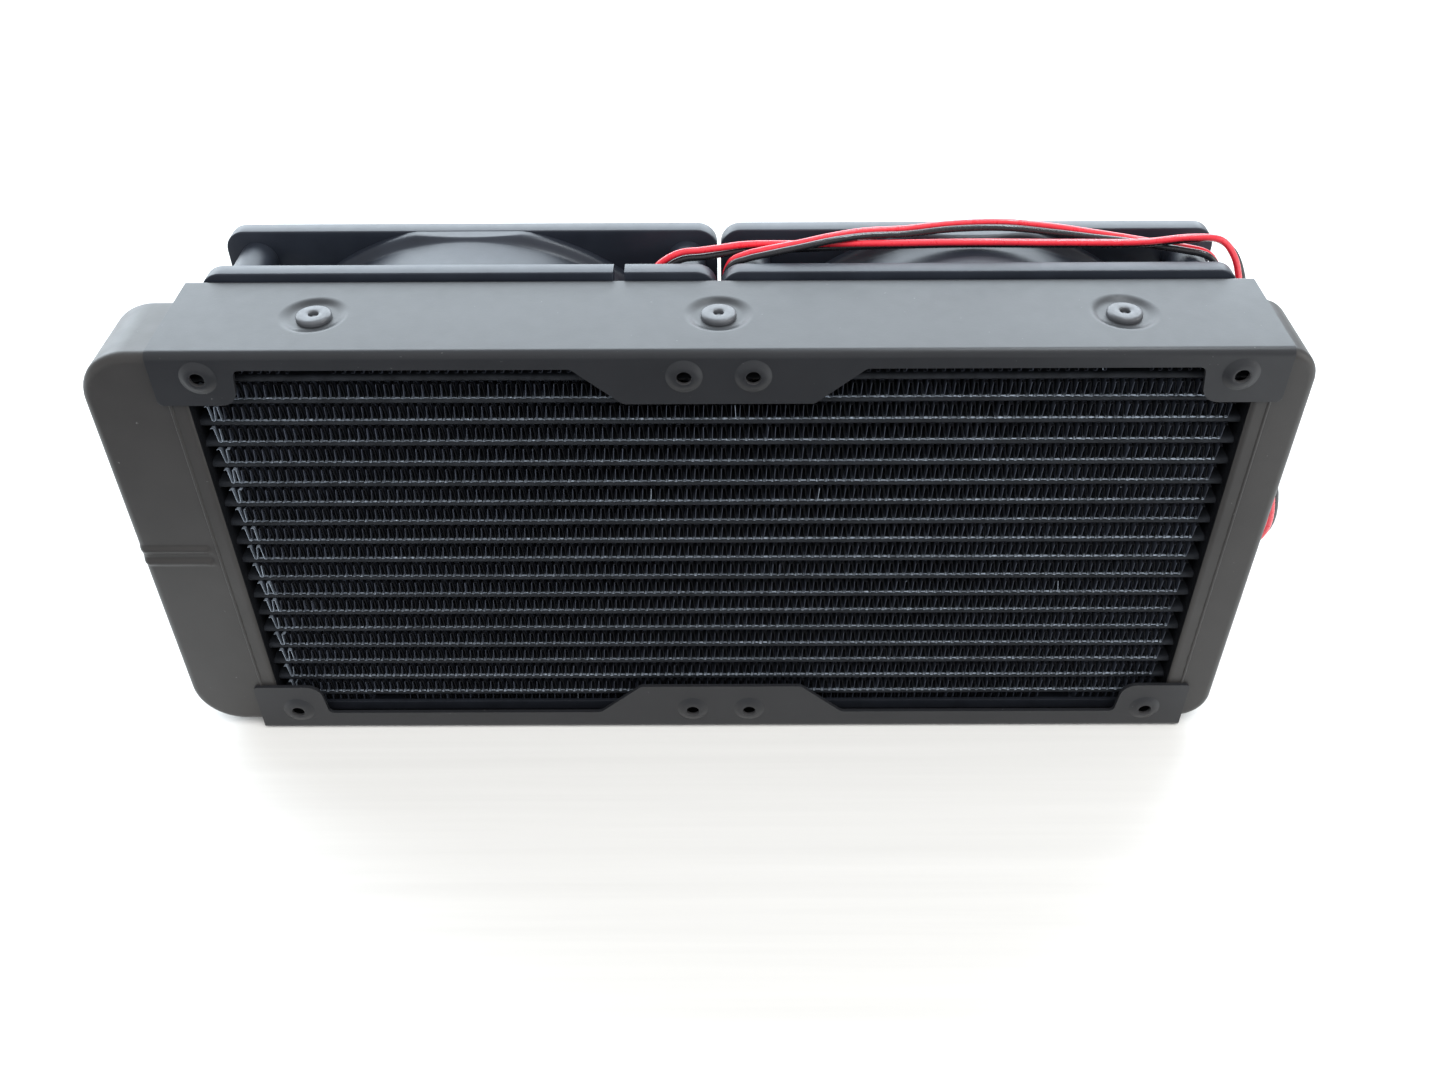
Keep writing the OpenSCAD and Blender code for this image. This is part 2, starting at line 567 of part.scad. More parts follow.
// Outer shape of the pair of wires wound side by side for two turns.
module coil_ring() translate([0, 0, 0.45]) difference() {
  cylinder(r = 10.65, h = 4.85, $fn = 64);
  translate([0, 0, -1]) cylinder(r = 7.1, h = 7, $fn = 64);
}
module left_lead_coil() color([0.3, 0.05, 0.05]) place()
  translate([coil_l[0], coil_l[1], 0]) coil_ring();
module right_lead_coil() color([0.3, 0.05, 0.05]) place()
  translate([coil_r[0], coil_r[1], 0]) coil_ring();

// Band round the coil on its far side.
module tie() difference() {
  translate([-1.5, 6.6, 0.02]) cube([3, 4.55, 5.7]);
  coil_ring();
}
module left_lead_tie() color([0.1, 0.1, 0.1]) place()
  translate([coil_l[0], coil_l[1], 0]) tie();
module right_lead_tie() color([0.1, 0.1, 0.1]) place()
  translate([coil_r[0], coil_r[1], 0]) tie();

// Small crimp housing for two wires, with its cable face at x = 0.
module plug_body() {
  translate([-12, -3.9, 0]) cube([12, 7.8, 5.8]);
  for (y = [-1.3, 1.3]) translate([-9, y - 0.6, 5.8]) cube([5, 1.2, 0.5]);
}
module left_lead_plug() color([0.85, 0.85, 0.82]) place()
  translate([plug_l[0], plug_l[1], 0]) plug_body();
module right_lead_plug() color([0.85, 0.85, 0.82]) place()
  translate([plug_r[0], plug_r[1], 0]) plug_body();

left_tank();
right_tank();
left_header_plate();
right_header_plate();
tank_partition();
inlet_port();
outlet_port();
flat_tubes();
cooling_fins();
upper_side_plate();
lower_side_plate();
top_bracket();
bottom_bracket();
top_rivets();
bottom_rivets();
left_fan_frame();
left_impeller();
left_rotor_yoke();
left_rotor_magnet();
left_rotor_shaft();
left_shaft_clip();
left_bearing_sleeve();
left_stator_core();
left_stator_windings();
left_circuit_board();
left_motor_label();
left_fan_screws();
right_fan_frame();
right_impeller();
right_rotor_yoke();
right_rotor_magnet();
right_rotor_shaft();
right_shaft_clip();
right_bearing_sleeve();
right_stator_core();
right_stator_windings();
right_circuit_board();
right_motor_label();
right_fan_screws();
left_lead_red();
left_lead_black();
right_lead_red();
right_lead_black();
left_lead_coil();
right_lead_coil();
left_lead_plug();
right_lead_plug();
left_lead_tie();
right_lead_tie();
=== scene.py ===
# Looks of the liquid cooling radiator: every visible piece as detailed mesh work
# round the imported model. Lengths below are millimetres in the core's own
# coordinates (X from the core's middle, Y from the front of the brackets, Z up).
import bpy, bmesh, math, random
from mathutils import Vector, Matrix
from mathutils.geometry import delaunay_2d_cdt


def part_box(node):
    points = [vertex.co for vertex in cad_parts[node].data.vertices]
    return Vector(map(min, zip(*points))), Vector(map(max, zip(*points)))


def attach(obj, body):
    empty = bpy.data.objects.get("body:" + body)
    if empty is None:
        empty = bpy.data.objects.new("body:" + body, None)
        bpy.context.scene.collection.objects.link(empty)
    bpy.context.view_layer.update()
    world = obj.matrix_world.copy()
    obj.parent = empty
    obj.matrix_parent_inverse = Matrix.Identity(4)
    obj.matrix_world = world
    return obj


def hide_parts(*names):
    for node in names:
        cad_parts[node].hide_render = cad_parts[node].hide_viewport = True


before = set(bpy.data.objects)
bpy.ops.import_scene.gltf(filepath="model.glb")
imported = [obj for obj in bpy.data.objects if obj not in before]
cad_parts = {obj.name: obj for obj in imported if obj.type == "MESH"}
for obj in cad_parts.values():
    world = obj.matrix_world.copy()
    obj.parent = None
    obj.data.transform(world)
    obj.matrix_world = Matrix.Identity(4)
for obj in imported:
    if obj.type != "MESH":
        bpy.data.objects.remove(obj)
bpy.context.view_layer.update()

sin, cos, pi = math.sin, math.cos, math.pi
rnd = random.Random(7)
scene = bpy.context.scene

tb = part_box("top_bracket")
OX = (tb[0][0] + tb[1][0]) * 500.0
OY = tb[0][1] * 1000.0 + 0.9


def W(p):
    return Vector(((p[0] + OX) * 0.001, (p[1] + OY) * 0.001, p[2] * 0.001))


# ------------------------------------------------------------------ camera
cam_data = bpy.data.cameras.new("camera")
cam = bpy.data.objects.new("camera", cam_data)
scene.collection.objects.link(cam)
pitch, roll, yaw = math.radians(-40.22), math.radians(-0.40), math.radians(-0.33)
d = Vector((sin(yaw) * cos(pitch), cos(yaw) * cos(pitch), sin(pitch)))
r = d.cross(Vector((0, 0, 1))).normalized()
u = r.cross(d)
r2 = cos(roll) * r + sin(roll) * u
u2 = -sin(roll) * r + cos(roll) * u
cam.matrix_world = Matrix((
    (r2.x, u2.x, -d.x, 0.00644),
    (r2.y, u2.y, -d.y, -0.27178),
    (r2.z, u2.z, -d.z, 0.27131),
    (0, 0, 0, 1)))
cam_data.sensor_width = 36
cam_data.lens = 33.36
cam_data.clip_start = 0.005
cam_data.clip_end = 20
scene.camera = cam


# --------------------------------------------------------------- materials
def node(nt, kind, **kw):
    n = nt.nodes.new(kind)
    for k, v in kw.items():
        setattr(n, k, v)
    return n


def noise(nt, coord, scale, detail=3, rough=0.55, stretch=None):
    n = node(nt, "ShaderNodeTexNoise")
    n.inputs["Scale"].default_value = scale
    n.inputs["Detail"].default_value = detail
    n.inputs["Roughness"].default_value = rough
    if stretch:
        m = node(nt, "ShaderNodeMapping")
        m.inputs["Scale"].default_value = stretch
        nt.links.new(coord, m.inputs["Vector"])
        coord = m.outputs["Vector"]
    nt.links.new(coord, n.inputs["Vector"])
    return n.outputs["Fac"]


def remap(nt, fac, lo, hi, a=0.3, b=0.7):
    m = node(nt, "ShaderNodeMapRange")
    m.inputs["From Min"].default_value = a
    m.inputs["From Max"].default_value = b
    m.inputs["To Min"].default_value = lo
    m.inputs["To Max"].default_value = hi
    nt.links.new(fac, m.inputs["Value"])
    return m.outputs["Result"]


def material(name, base, rough, metallic=0.0, spec=0.5, vary=0.15, patch=70,
             rough_vary=0.05, grain=None, coat=0.0, tint=None, speck=None,
             stretch=None, sheen=0.0, edge=None):
    """base colour broken up by soft patches, roughness by finer ones, and a
    bump of the grain's own scale. grain = (scale, depth in metres)."""
    m = bpy.data.materials.new(name)
    m.use_nodes = True
    nt = m.node_tree
    nt.nodes.clear()
    out = node(nt, "ShaderNodeOutputMaterial")
    p = node(nt, "ShaderNodeBsdfPrincipled")
    nt.links.new(p.outputs[0], out.inputs["Surface"])
    tc = node(nt, "ShaderNodeTexCoord").outputs["Object"]
    big = noise(nt, tc, patch, 4, 0.6, stretch)
    mix = node(nt, "ShaderNodeMix", data_type="RGBA")
    lo = [max(0.0, c * (1 - vary)) for c in base] + [1]
    hi = [min(1.0, c * (1 + vary)) for c in (tint or base)] + [1]
    mix.inputs[6].default_value = lo
    mix.inputs[7].default_value = hi
    nt.links.new(remap(nt, big, 0, 1), mix.inputs[0])
    colour = mix.outputs[2]
    if speck:
        # (scale, threshold, colour): small settled dust and scratches
        sp = noise(nt, tc, speck[0], 2, 0.7)
        mx = node(nt, "ShaderNodeMix", data_type="RGBA")
        nt.links.new(remap(nt, sp, 0, 1, speck[1], speck[1] + 0.06), mx.inputs[0])
        nt.links.new(colour, mx.inputs[6])
        mx.inputs[7].default_value = list(speck[2]) + [1]
        colour = mx.outputs[2]
    if edge:
        # painted highlight: paler colour where edges stand out, for the light caught along them
        g = node(nt, "ShaderNodeNewGeometry")
        mx = node(nt, "ShaderNodeMix", data_type="RGBA")
        nt.links.new(remap(nt, g.outputs["Pointiness"], 0, 1, 0.53, 0.6), mx.inputs[0])
        nt.links.new(colour, mx.inputs[6])
        mx.inputs[7].default_value = list(edge) + [1]
        colour = mx.outputs[2]
    nt.links.new(colour, p.inputs["Base Color"])
    fine = noise(nt, tc, patch * 7, 3)
    nt.links.new(remap(nt, fine, max(0.02, rough - rough_vary), min(1, rough + rough_vary)),
                 p.inputs["Roughness"])
    p.inputs["Metallic"].default_value = metallic
    p.inputs["Specular IOR Level"].default_value = spec
    p.inputs["Coat Weight"].default_value = coat
    p.inputs["Coat Roughness"].default_value = 0.15
    p.inputs["Sheen Weight"].default_value = sheen
    if grain:
        b = node(nt, "ShaderNodeBump")
        b.inputs["Strength"].default_value = 1.0
        b.inputs["Distance"].default_value = grain[1]
        nt.links.new(noise(nt, tc, grain[0], 2, 0.5), b.inputs["Height"])
        nt.links.new(b.outputs["Normal"], p.inputs["Normal"])
    return m


paint = material("satin_black_paint", (0.017, 0.018, 0.021), 0.41, vary=0.10, patch=45, spec=0.43,
                 rough_vary=0.018, grain=(1500, 0.000010), speck=(900, 0.74, (0.11, 0.11, 0.115)))
tank_paint = material("tank_paint", (0.030, 0.0285, 0.028), 0.43, vary=0.12, patch=38, spec=0.44,
                      rough_vary=0.025, grain=(1100, 0.000014), speck=(800, 0.75, (0.12, 0.12, 0.12)))
core_paint = material("core_paint", (0.032, 0.036, 0.046), 0.52, vary=0.3, patch=220, spec=0.22,
                      rough_vary=0.08, grain=(2400, 0.000010), tint=(0.046, 0.053, 0.072))
# painted highlight: pale blue-grey paint for the light line on the lower fin crests and the tube braze
# bead; on the rubbed sides of the fins' left ends it stands for wear
crest_highlight_and_wear_paint = material("fin_crest_painted_highlight_and_wear", (0.15, 0.175, 0.21), 0.42, metallic=0.15, vary=0.35, patch=300,
                       rough_vary=0.10, grain=(2400, 0.000010))
# painted shade: near-black paint standing in for deep shade, on the header's cap face and the upper fin
# crests
painted_shade_paint = material("painted_shade_black", (0.005, 0.0055, 0.007), 0.55, vary=0.3, patch=150, spec=0.15,
                     rough_vary=0.08, grain=(1800, 0.000012))
plate_paint = material("side_plate_paint", (0.012, 0.014, 0.019), 0.45, vary=0.2, patch=120, spec=0.3,
                       rough_vary=0.08, grain=(1800, 0.000012))
# palest tone: bare metal where the fins' left ends are rubbed, and a painted highlight on the brightest
# lower fin crests and stretches of the tube braze bead
worn_edge_and_highlight = material("worn_fin_edge_and_painted_highlight", (0.32, 0.37, 0.44), 0.38, metallic=0.35, vary=0.45, patch=260,
                     rough_vary=0.12, grain=(2400, 0.000012))
# near-black, darker than the fin paint: partly the tubes' own paint, partly painted shade for their noses
# set back between the fins
tube_paint_and_shade = material("tube_paint_and_shade", (0.015, 0.017, 0.021), 0.55, vary=0.3, patch=300, spec=0.15,
                      rough_vary=0.10, grain=(1300, 0.00003))
fan_plastic = material("fan_plastic", (0.018, 0.022, 0.032), 0.40, vary=0.12, patch=60, spec=0.38,
                       rough_vary=0.02, grain=(1900, 0.000012), tint=(0.022, 0.027, 0.038))
blade_plastic = material("blade_plastic", (0.020, 0.022, 0.027), 0.34, vary=0.10, patch=50,
                         rough_vary=0.05, grain=(2200, 0.000006))
rivet_metal = material("rivet_paint", (0.075, 0.080, 0.090), 0.40, vary=0.2, patch=250,
                       rough_vary=0.08, grain=(1800, 0.000012))
port_paint_and_hole_glint = material("port_and_hole_glint_paint", (0.05, 0.05, 0.053), 0.34, vary=0.15, patch=120,
                      rough_vary=0.06, grain=(1800, 0.000008))
screw_metal = material("screw_oxide", (0.06, 0.06, 0.065), 0.33, metallic=0.85, vary=0.2,
                       patch=260, rough_vary=0.08, grain=(2400, 0.000006))
wire_red = material("wire_red", (0.76, 0.025, 0.045), 0.30, spec=0.55, vary=0.10, patch=120,
                    rough_vary=0.05, grain=(900, 0.000015), coat=0.25)
wire_black = material("wire_black", (0.016, 0.016, 0.019), 0.26, spec=0.5, vary=0.15, patch=120,
                      rough_vary=0.05, grain=(900, 0.000015), coat=0.2)
plug_white = material("plug_nylon", (0.60, 0.58, 0.52), 0.42, vary=0.05, patch=90,
                      rough_vary=0.06, grain=(1500, 0.00001))
tie_black = material("tie_nylon", (0.02, 0.02, 0.022), 0.4, vary=0.1, patch=90,
                     rough_vary=0.06, grain=(1500, 0.00001))
pin_metal = material("terminal_tin", (0.62, 0.62, 0.6), 0.28, metallic=1.0, vary=0.1, patch=300,
                     rough_vary=0.06, grain=(2500, 0.000004))
bare_metal = material("mill_aluminium", (0.6, 0.6, 0.61), 0.35, metallic=1.0, vary=0.08,
                      patch=120, rough_vary=0.08, grain=(1800, 0.000008), stretch=(1, 1, 9))
steel = material("bright_steel", (0.5, 0.5, 0.52), 0.25, metallic=1.0, vary=0.08, patch=200,
                 rough_vary=0.06, grain=(2400, 0.000005), stretch=(1, 6, 1))
copper = material("enamelled_copper", (0.55, 0.22, 0.09), 0.3, metallic=0.9, vary=0.15,
                  patch=400, rough_vary=0.06, grain=(3200, 0.00002), stretch=(1, 8, 1))
bronze = material("sintered_bronze", (0.42, 0.28, 0.12), 0.42, metallic=0.9, vary=0.2,
                  patch=500, rough_vary=0.1, grain=(3500, 0.00001))
board = material("solder_mask", (0.015, 0.10, 0.045), 0.35, vary=0.15, patch=200,
                 rough_vary=0.06, grain=(1500, 0.00001))
label = material("blank_label", (0.20, 0.20, 0.215), 0.38, vary=0.06, patch=120,
                 rough_vary=0.05, grain=(1500, 0.000006))
magnet = material("magnet_rubber", (0.05, 0.045, 0.045), 0.6, vary=0.15, patch=200,
                  rough_vary=0.06, grain=(1800, 0.00001))
nylon = material("clip_nylon", (0.78, 0.77, 0.72), 0.4, vary=0.05, patch=200,
                 rough_vary=0.05, grain=(1500, 0.000006))


# ------------------------------------------------------------ cords (leads)
ROUTE_L = [(-23.2, 35, 106.8, 235), (-22.8, 38.4, 107.6, 195), (-18.8, 40.4, 111.4, 180),
    (-14, 40.6, 117.5, 180), (-9.4, 41, 120.1, 180), (-4, 42, 120.3, 180),
    (1, 43, 120.5, 185), (6, 43.8, 120.8, 190), (19, 43.8, 120.9, 200),
    (38, 43.2, 121.3, 220), (60, 43.2, 121.5, 225), (82, 43.4, 121.2, 225),
    (101, 43.6, 121.2, 225), (112, 43.8, 122.2, 225), (118.6, 43.9, 121.4, 245),
    (122.6, 44.1, 117.2, 280), (125.2, 44.5, 111.6, 305), (128, 45, 102, 320),
    (134, 46, 84, 320), (144, 48, 60, 320), (154, 50, 39, 320), (157, 54.6, 21, 310),
    (150.6, 61.6, 7.8, 285), (140, 68.2, 2.2, 270), (126, 71, 0.9, 270),
    (110.4, 71.3, 0.95, 270)]
ROUTE_R = [(13.6, 35, 97.4, 250), (12.4, 38.4, 98, 190), (8.6, 39.8, 101.2, 140),
    (3.4, 40.3, 107, 110), (1.6, 40.4, 113, 90), (2.8, 40.6, 118, 90),
    (6, 40.7, 119.8, 100), (11, 40.9, 121, 100), (19, 41.8, 122.2, 95),
    (26, 43.6, 122.9, 95), (34, 45.6, 123.2, 100), (44, 46.9, 123.1, 105),
    (55, 48, 123.8, 105), (68, 48.4, 124, 110), (80, 48.6, 122.6, 110),
    (90, 49, 120.8, 100), (98, 48.9, 119.5, 90), (105, 47.6, 118.8, 90),
    (111, 45.8, 118.6, 90), (116.4, 43.6, 117.8, 90), (120.4, 43.6, 111.6, 90),
    (124.2, 44.4, 101, 90), (130.2, 45.4, 82, 90), (140, 47.2, 59, 90),
    (149.4, 50, 37, 90), (151.4, 54.6, 18, 90), (147.2, 59.2, 5.2, 90),
    (138, 62.6, 1.4, 90), (120, 64.8, 0.9, 90), (92, 66.4, 0.9, 90), (68.6, 68, 0.95, 90)]
TAILS = {"lr": [(99.4, 71.3, 4.45), (95, 71.1, 3.7), (90, 70.9, 3)],
         "lb": [(96.8, 73, 4.45), (93.6, 73.2, 3.7), (90, 73.4, 3)],
         "rr": [(54.8, 68, 4.45), (51.6, 68.2, 3.7), (48, 68.4, 3)],
         "rb": [(57.4, 66.3, 4.45), (53, 66.1, 3.7), (48, 65.9, 3)]}
COIL_L, COIL_R = (104.0, 81.0), (62.0, 76.0)
PLUG_L, PLUG_R = (90.0, 72.15), (48.0, 67.15)


def tangents(p):
    out = []
    for i in range(len(p)):
        if i == 0:
            t = p[1] - p[0]
        elif i == len(p) - 1:
            t = p[i] - p[i - 1]
        else:
            t = (p[i + 1] - p[i]).normalized() + (p[i] - p[i - 1]).normalized()
        out.append(t.normalized())
    return out


def red_line(q):
    return [Vector(a[:3]) for a in q]


def black_line(q):
    p = red_line(q)
    out = []
    for a, b, t in zip(q, p, tangents(p)):
        uu = t.cross(Vector((0, 1, 0.02))).normalized()
        vv = t.cross(uu)
        k = math.radians(a[3])
        out.append(b + 1.8 * (cos(k) * uu + sin(k) * vv))
    return out


def coil(c, rad, turns=2, per=16):
    n = turns * per
    return [Vector((c[0] + rad * cos(-pi / 2 - 2 * pi * i / per),
                    c[1] + rad * sin(-pi / 2 - 2 * pi * i / per),
                    1.25 + 3.2 * i / n)) for i in range(n + 1)]


def adopt(o, nodes=(), body="radiator"):
    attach(o, body)
    if nodes:
        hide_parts(*nodes)
    return o


def cord_curve(name, pts, mat, nodes):
    cu = bpy.data.curves.new(name, "CURVE")
    cu.dimensions = "3D"
    cu.bevel_depth = 0.0008
    cu.bevel_resolution = 6
    cu.resolution_u = 6
    cu.use_fill_caps = True
    sp = cu.splines.new("BEZIER")
    sp.bezier_points.add(len(pts) - 1)
    ts = tangents(pts)
    for i, (bp, p, t) in enumerate(zip(sp.bezier_points, pts, ts)):
        a = (p - pts[i - 1]).length / 3 if i else 0.5
        b = (pts[i + 1] - p).length / 3 if i < len(pts) - 1 else 0.5
        bp.handle_left_type = bp.handle_right_type = "FREE"
        bp.co = W(p)
        left, right = p - t * a, p + t * b
        left.z, right.z = max(left.z, 0.86), max(right.z, 0.86)
        bp.handle_left = W(left)
        bp.handle_right = W(right)
    o = bpy.data.objects.new(name, cu)
    scene.collection.objects.link(o)
    cu.materials.append(mat)
    return adopt(o, nodes)


# --------------------------------------------------------- mesh work tools
def inside(poly, x, y):
    c = False
    j = len(poly) - 1
    for i in range(len(poly)):
        xi, yi = poly[i]
        xj, yj = poly[j]
        if (yi > y) != (yj > y) and x < (xj - xi) * (y - yi) / (yj - yi) + xi:
            c = not c
        j = i
    return c


def circle(cx, cy, rad, n=48):
    return [(cx + rad * cos(2 * pi * i / n), cy + rad * sin(2 * pi * i / n)) for i in range(n)]


def rrect(x0, x1, y0, y1, rad, n=8):
    rad = max(rad, 1e-3)
    out = []
    for cx, cy, a0 in ((x1 - rad, y1 - rad, 0), (x0 + rad, y1 - rad, 90),
                       (x0 + rad, y0 + rad, 180), (x1 - rad, y0 + rad, 270)):
        for i in range(n + 1):
            a = math.radians(a0 + 90 * i / n)
            out.append((cx + rad * cos(a), cy + rad * sin(a)))
    return out


def fillet(poly, radii, n=5):
    """Rounds each corner of a polygon: radii gives one radius per corner."""
    out = []
    m = len(poly)
    for i in range(m):
        rad = radii[i] if isinstance(radii, (list, tuple)) else radii
        p = Vector(poly[i])
        a = Vector(poly[i - 1]) - p
        b = Vector(poly[(i + 1) % m]) - p
        la, lb = a.length, b.length
        a.normalize()
        b.normalize()
        ang = math.acos(max(-1, min(1, a.dot(b))))
        if rad <= 0 or ang > math.radians(176):
            out.append(tuple(p))
            continue
        cut = min(rad / math.tan(ang / 2), la * 0.49, lb * 0.49)
        rr = cut * math.tan(ang / 2)
        c = p + (a + b).normalized() * (rr / sin(ang / 2))
        s, e = p + a * cut - c, p + b * cut - c
        a0, a1 = math.atan2(s.y, s.x), math.atan2(e.y, e.x)
        da = (a1 - a0 + pi) % (2 * pi) - pi
        for k in range(n + 1):
            t = a0 + da * k / n
            out.append((c.x + rr * cos(t), c.y + rr * sin(t)))
    return out


class Mesh:
    """Vertices and faces in millimetres, welded when the object is made."""

    def __init__(self, tf=None):
        self.v, self.f, self.tf = [], [], tf or (lambda p: p)

    def ring(self, pts):
        i = len(self.v)
        self.v += [tuple(self.tf(p)) for p in pts]
        return list(range(i, i + len(pts)))

    def bridge(self, a, b, closed=True):
        n = len(a)
        for i in range(n if closed else n - 1):
            j = (i + 1) % n
            self.f.append((a[i], a[j], b[j], b[i]))

    def cap(self, outer, holes, lift, lines=()):
        pts, edges = [], []
        for loop in [outer] + list(holes):
            k = len(pts)
            pts += [Vector(p) for p in loop]
            edges += [(k + i, k + (i + 1) % len(loop)) for i in range(len(loop))]
        for line in lines:
            k = len(pts)
            pts += [Vector(p) for p in line]
            edges += [(k + i, k + i + 1) for i in range(len(line) - 1)]
        vs, _, fs, *_ = delaunay_2d_cdt(pts, edges, [], 0, 1e-4)
        ids = self.ring([lift(v.x, v.y) for v in vs])
        for f in fs:
            c = (vs[f[0]] + vs[f[1]] + vs[f[2]]) / 3
            if inside(outer, c.x, c.y) and not any(inside(h, c.x, c.y) for h in holes):
                self.f.append(tuple(ids[i] for i in f))

    def lathe(self, profile, n=64, tf=None, close=False):
        tf = tf or (lambda p: p)
        rings = []
        for rad, z in profile:
            rings.append(self.ring([tf((rad * cos(2 * pi * i / n), rad * sin(2 * pi * i / n), z))
                                    for i in range(n)]))
        for a, b in zip(rings, rings[1:]):
            self.bridge(a, b)
        if close:
            self.bridge(rings[-1], rings[0])
        else:
            for k in (0, -1):
                if profile[k][0] > 1e-6:
                    self.f.append(tuple(rings[k]))

    def plate(self, outline, holes, z0, z1, rad=0.4, n=3, tf=None, lift=None):
        """A plate from z0 to z1: outline(offset) gives the outer loop, and each
        hole(offset) a hole's loop, both moved into the material by offset."""
        lift = lift or (lambda x, y, z: (x, y, z))
        steps = [(rad * (1 - sin(k * pi / 2 / n)), rad * (1 - cos(k * pi / 2 / n))) for k in range(n + 1)]
        prof = [(o, z0 + z) for o, z in steps] + [(o, z1 - z) for o, z in reversed(steps)]
        for fn in [outline] + list(holes):
            rings = [self.ring([lift(x, y, z) for x, y in fn(o)]) for o, z in prof]
            for a, b in zip(rings, rings[1:]):
                self.bridge(a, b)
        for z in (z0, z1):
            self.cap(outline(rad), [h(rad) for h in holes], lambda x, y, z=z: lift(x, y, z))

    def make(self, name, mat, nodes=(), body="radiator", sharp=38, bevel=0.0,
             bevel_angle=40, shell=0.0, centre=None):
        bm = bmesh.new()
        vs = [bm.verts.new(p) for p in self.v]
        for f in self.f:
            if len(set(f)) > 2:
                try:
                    bm.faces.new([vs[i] for i in f])
                except ValueError:
                    pass
        bmesh.ops.remove_doubles(bm, verts=bm.verts, dist=0.004)
        bmesh.ops.dissolve_degenerate(bm, edges=bm.edges, dist=0.0005)
        loose = [v for v in bm.verts if not v.link_faces]
        bmesh.ops.delete(bm, geom=loose, context="VERTS")
        bmesh.ops.recalc_face_normals(bm, faces=bm.faces)
        if centre is not None:
            c = Vector(centre)
            s = sum((f.calc_center_median() - c).dot(f.normal) * f.calc_area() for f in bm.faces)
            if s < 0:
                bmesh.ops.reverse_faces(bm, faces=bm.faces)
        for v in bm.verts:
            v.co = W(v.co)
        me = bpy.data.meshes.new(name)
        bm.to_mesh(me)
        bm.free()
        me.polygons.foreach_set("use_smooth", [True] * len(me.polygons))
        o = bpy.data.objects.new(name, me)
        scene.collection.objects.link(o)
        for m in (mat if isinstance(mat, (list, tuple)) else [mat]):
            me.materials.append(m)
        if shell:
            s = o.modifiers.new("wall", "SOLIDIFY")
            s.thickness = shell * 0.001
            s.offset = -1
            s.use_even_offset = True
        if bevel:
            b = o.modifiers.new("edges", "BEVEL")
            b.width = bevel * 0.001
            b.segments = 2
            b.limit_method = "ANGLE"
            b.angle_limit = math.radians(bevel_angle)
            b.harden_normals = False
            wn = o.modifiers.new("normals", "WEIGHTED_NORMAL")
            wn.weight = 60
            wn.keep_sharp = True
        else:
            me.set_sharp_from_angle(angle=math.radians(sharp))
        return adopt(o, nodes, body)


# ------------------------------------------------------------------- plugs
def make_plug(name, at, node_name, others=()):
    """Two-way crimp housing: body with ribs and two cable holes."""
    m = Mesh()
    x0, y0 = at
    holes = [lambda o, cy=cy: rrect(cy - 1.05 - o, cy + 1.05 + o, 2.0 - o, 4.0 + o, 0.35, 3)
             for cy in (-1.25, 1.25)]
    m.plate(lambda o: rrect(-3.9 + o, 3.9 - o, 0.02 + o, 5.8 - o, 0.7, 5), holes, -12, 0, 0.28, 3,
            lift=lambda y, z, x: (x0 + x, y0 + y, z))
    for y in (-1.3, 1.3):
        m.plate(lambda o: rrect(-9 + o, -4 - o, y - 0.6 + o, y + 0.6 - o, 0.3, 4), [], 5.55, 6.28, 0.18, 3,
                lift=lambda a, b, z: (x0 + a, y0 + b, z))
    return m.make(name, plug_white, (node_name,), sharp=40)


def make_tie(name, c, node_name):
    """Band once round the coiled wires."""
    m = Mesh()
    loop_o = rrect(6.62, 11.12, 0.03, 5.7, 1.5, 8)
    loop_i = rrect(6.98, 10.78, 0.36, 5.36, 1.2, 8)
    secs = []
    for x, o in ((-1.5, 0.12), (-1.38, 0), (1.38, 0), (1.5, 0.12)):
        a = [((1 - o / 0.4) * py + o / 0.4 * qy, (1 - o / 0.4) * pz + o / 0.4 * qz)
             for (py, pz), (qy, qz) in zip(loop_o, loop_i)]
        secs.append(m.ring([(c[0] + x, c[1] + y, z) for y, z in a]))
    inner = []
    for x in (-1.5, 1.5):
        inner.append(m.ring([(c[0] + x, c[1] + y, z) for y, z in loop_i]))
    for a, b in zip(secs, secs[1:]):
        m.bridge(a, b)
    m.bridge(secs[0], inner[0])
    m.bridge(secs[-1], inner[1])
    m.bridge(inner[0], inner[1])
    return m.make(name, tie_black, (node_name,), sharp=50)


plug_l = make_plug("left_plug_housing", PLUG_L, "left_lead_plug")
plug_r = make_plug("right_plug_housing", PLUG_R, "right_lead_plug")
tie_l = make_tie("left_coil_band", COIL_L, "left_lead_tie")
tie_r = make_tie("right_coil_band", COIL_R, "right_lead_tie")
leads = {
    "left_wire_red": (red_line(ROUTE_L) + coil(COIL_L, 9.7) + red_line(TAILS["lr"]),
                      wire_red, "wire_red", ("left_lead_red", "left_lead_coil"), plug_l, tie_l),
    "left_wire_black": (black_line(ROUTE_L) + coil(COIL_L, 8.0) + red_line(TAILS["lb"]),
                        wire_black, "wire_black", ("left_lead_black",), plug_l, tie_l),
    "right_wire_red": (red_line(ROUTE_R) + coil(COIL_R, 8.0) + red_line(TAILS["rr"]),
                       wire_red, "wire_red", ("right_lead_red", "right_lead_coil"), plug_r, tie_r),
    "right_wire_black": (black_line(ROUTE_R) + coil(COIL_R, 9.7) + red_line(TAILS["rb"]),
                         wire_black, "wire_black", ("right_lead_black",), plug_r, tie_r),
}
for name, (pts, mat, slot, nodes, plug, tie) in leads.items():
    o = cord_curve(name, pts, mat, nodes)


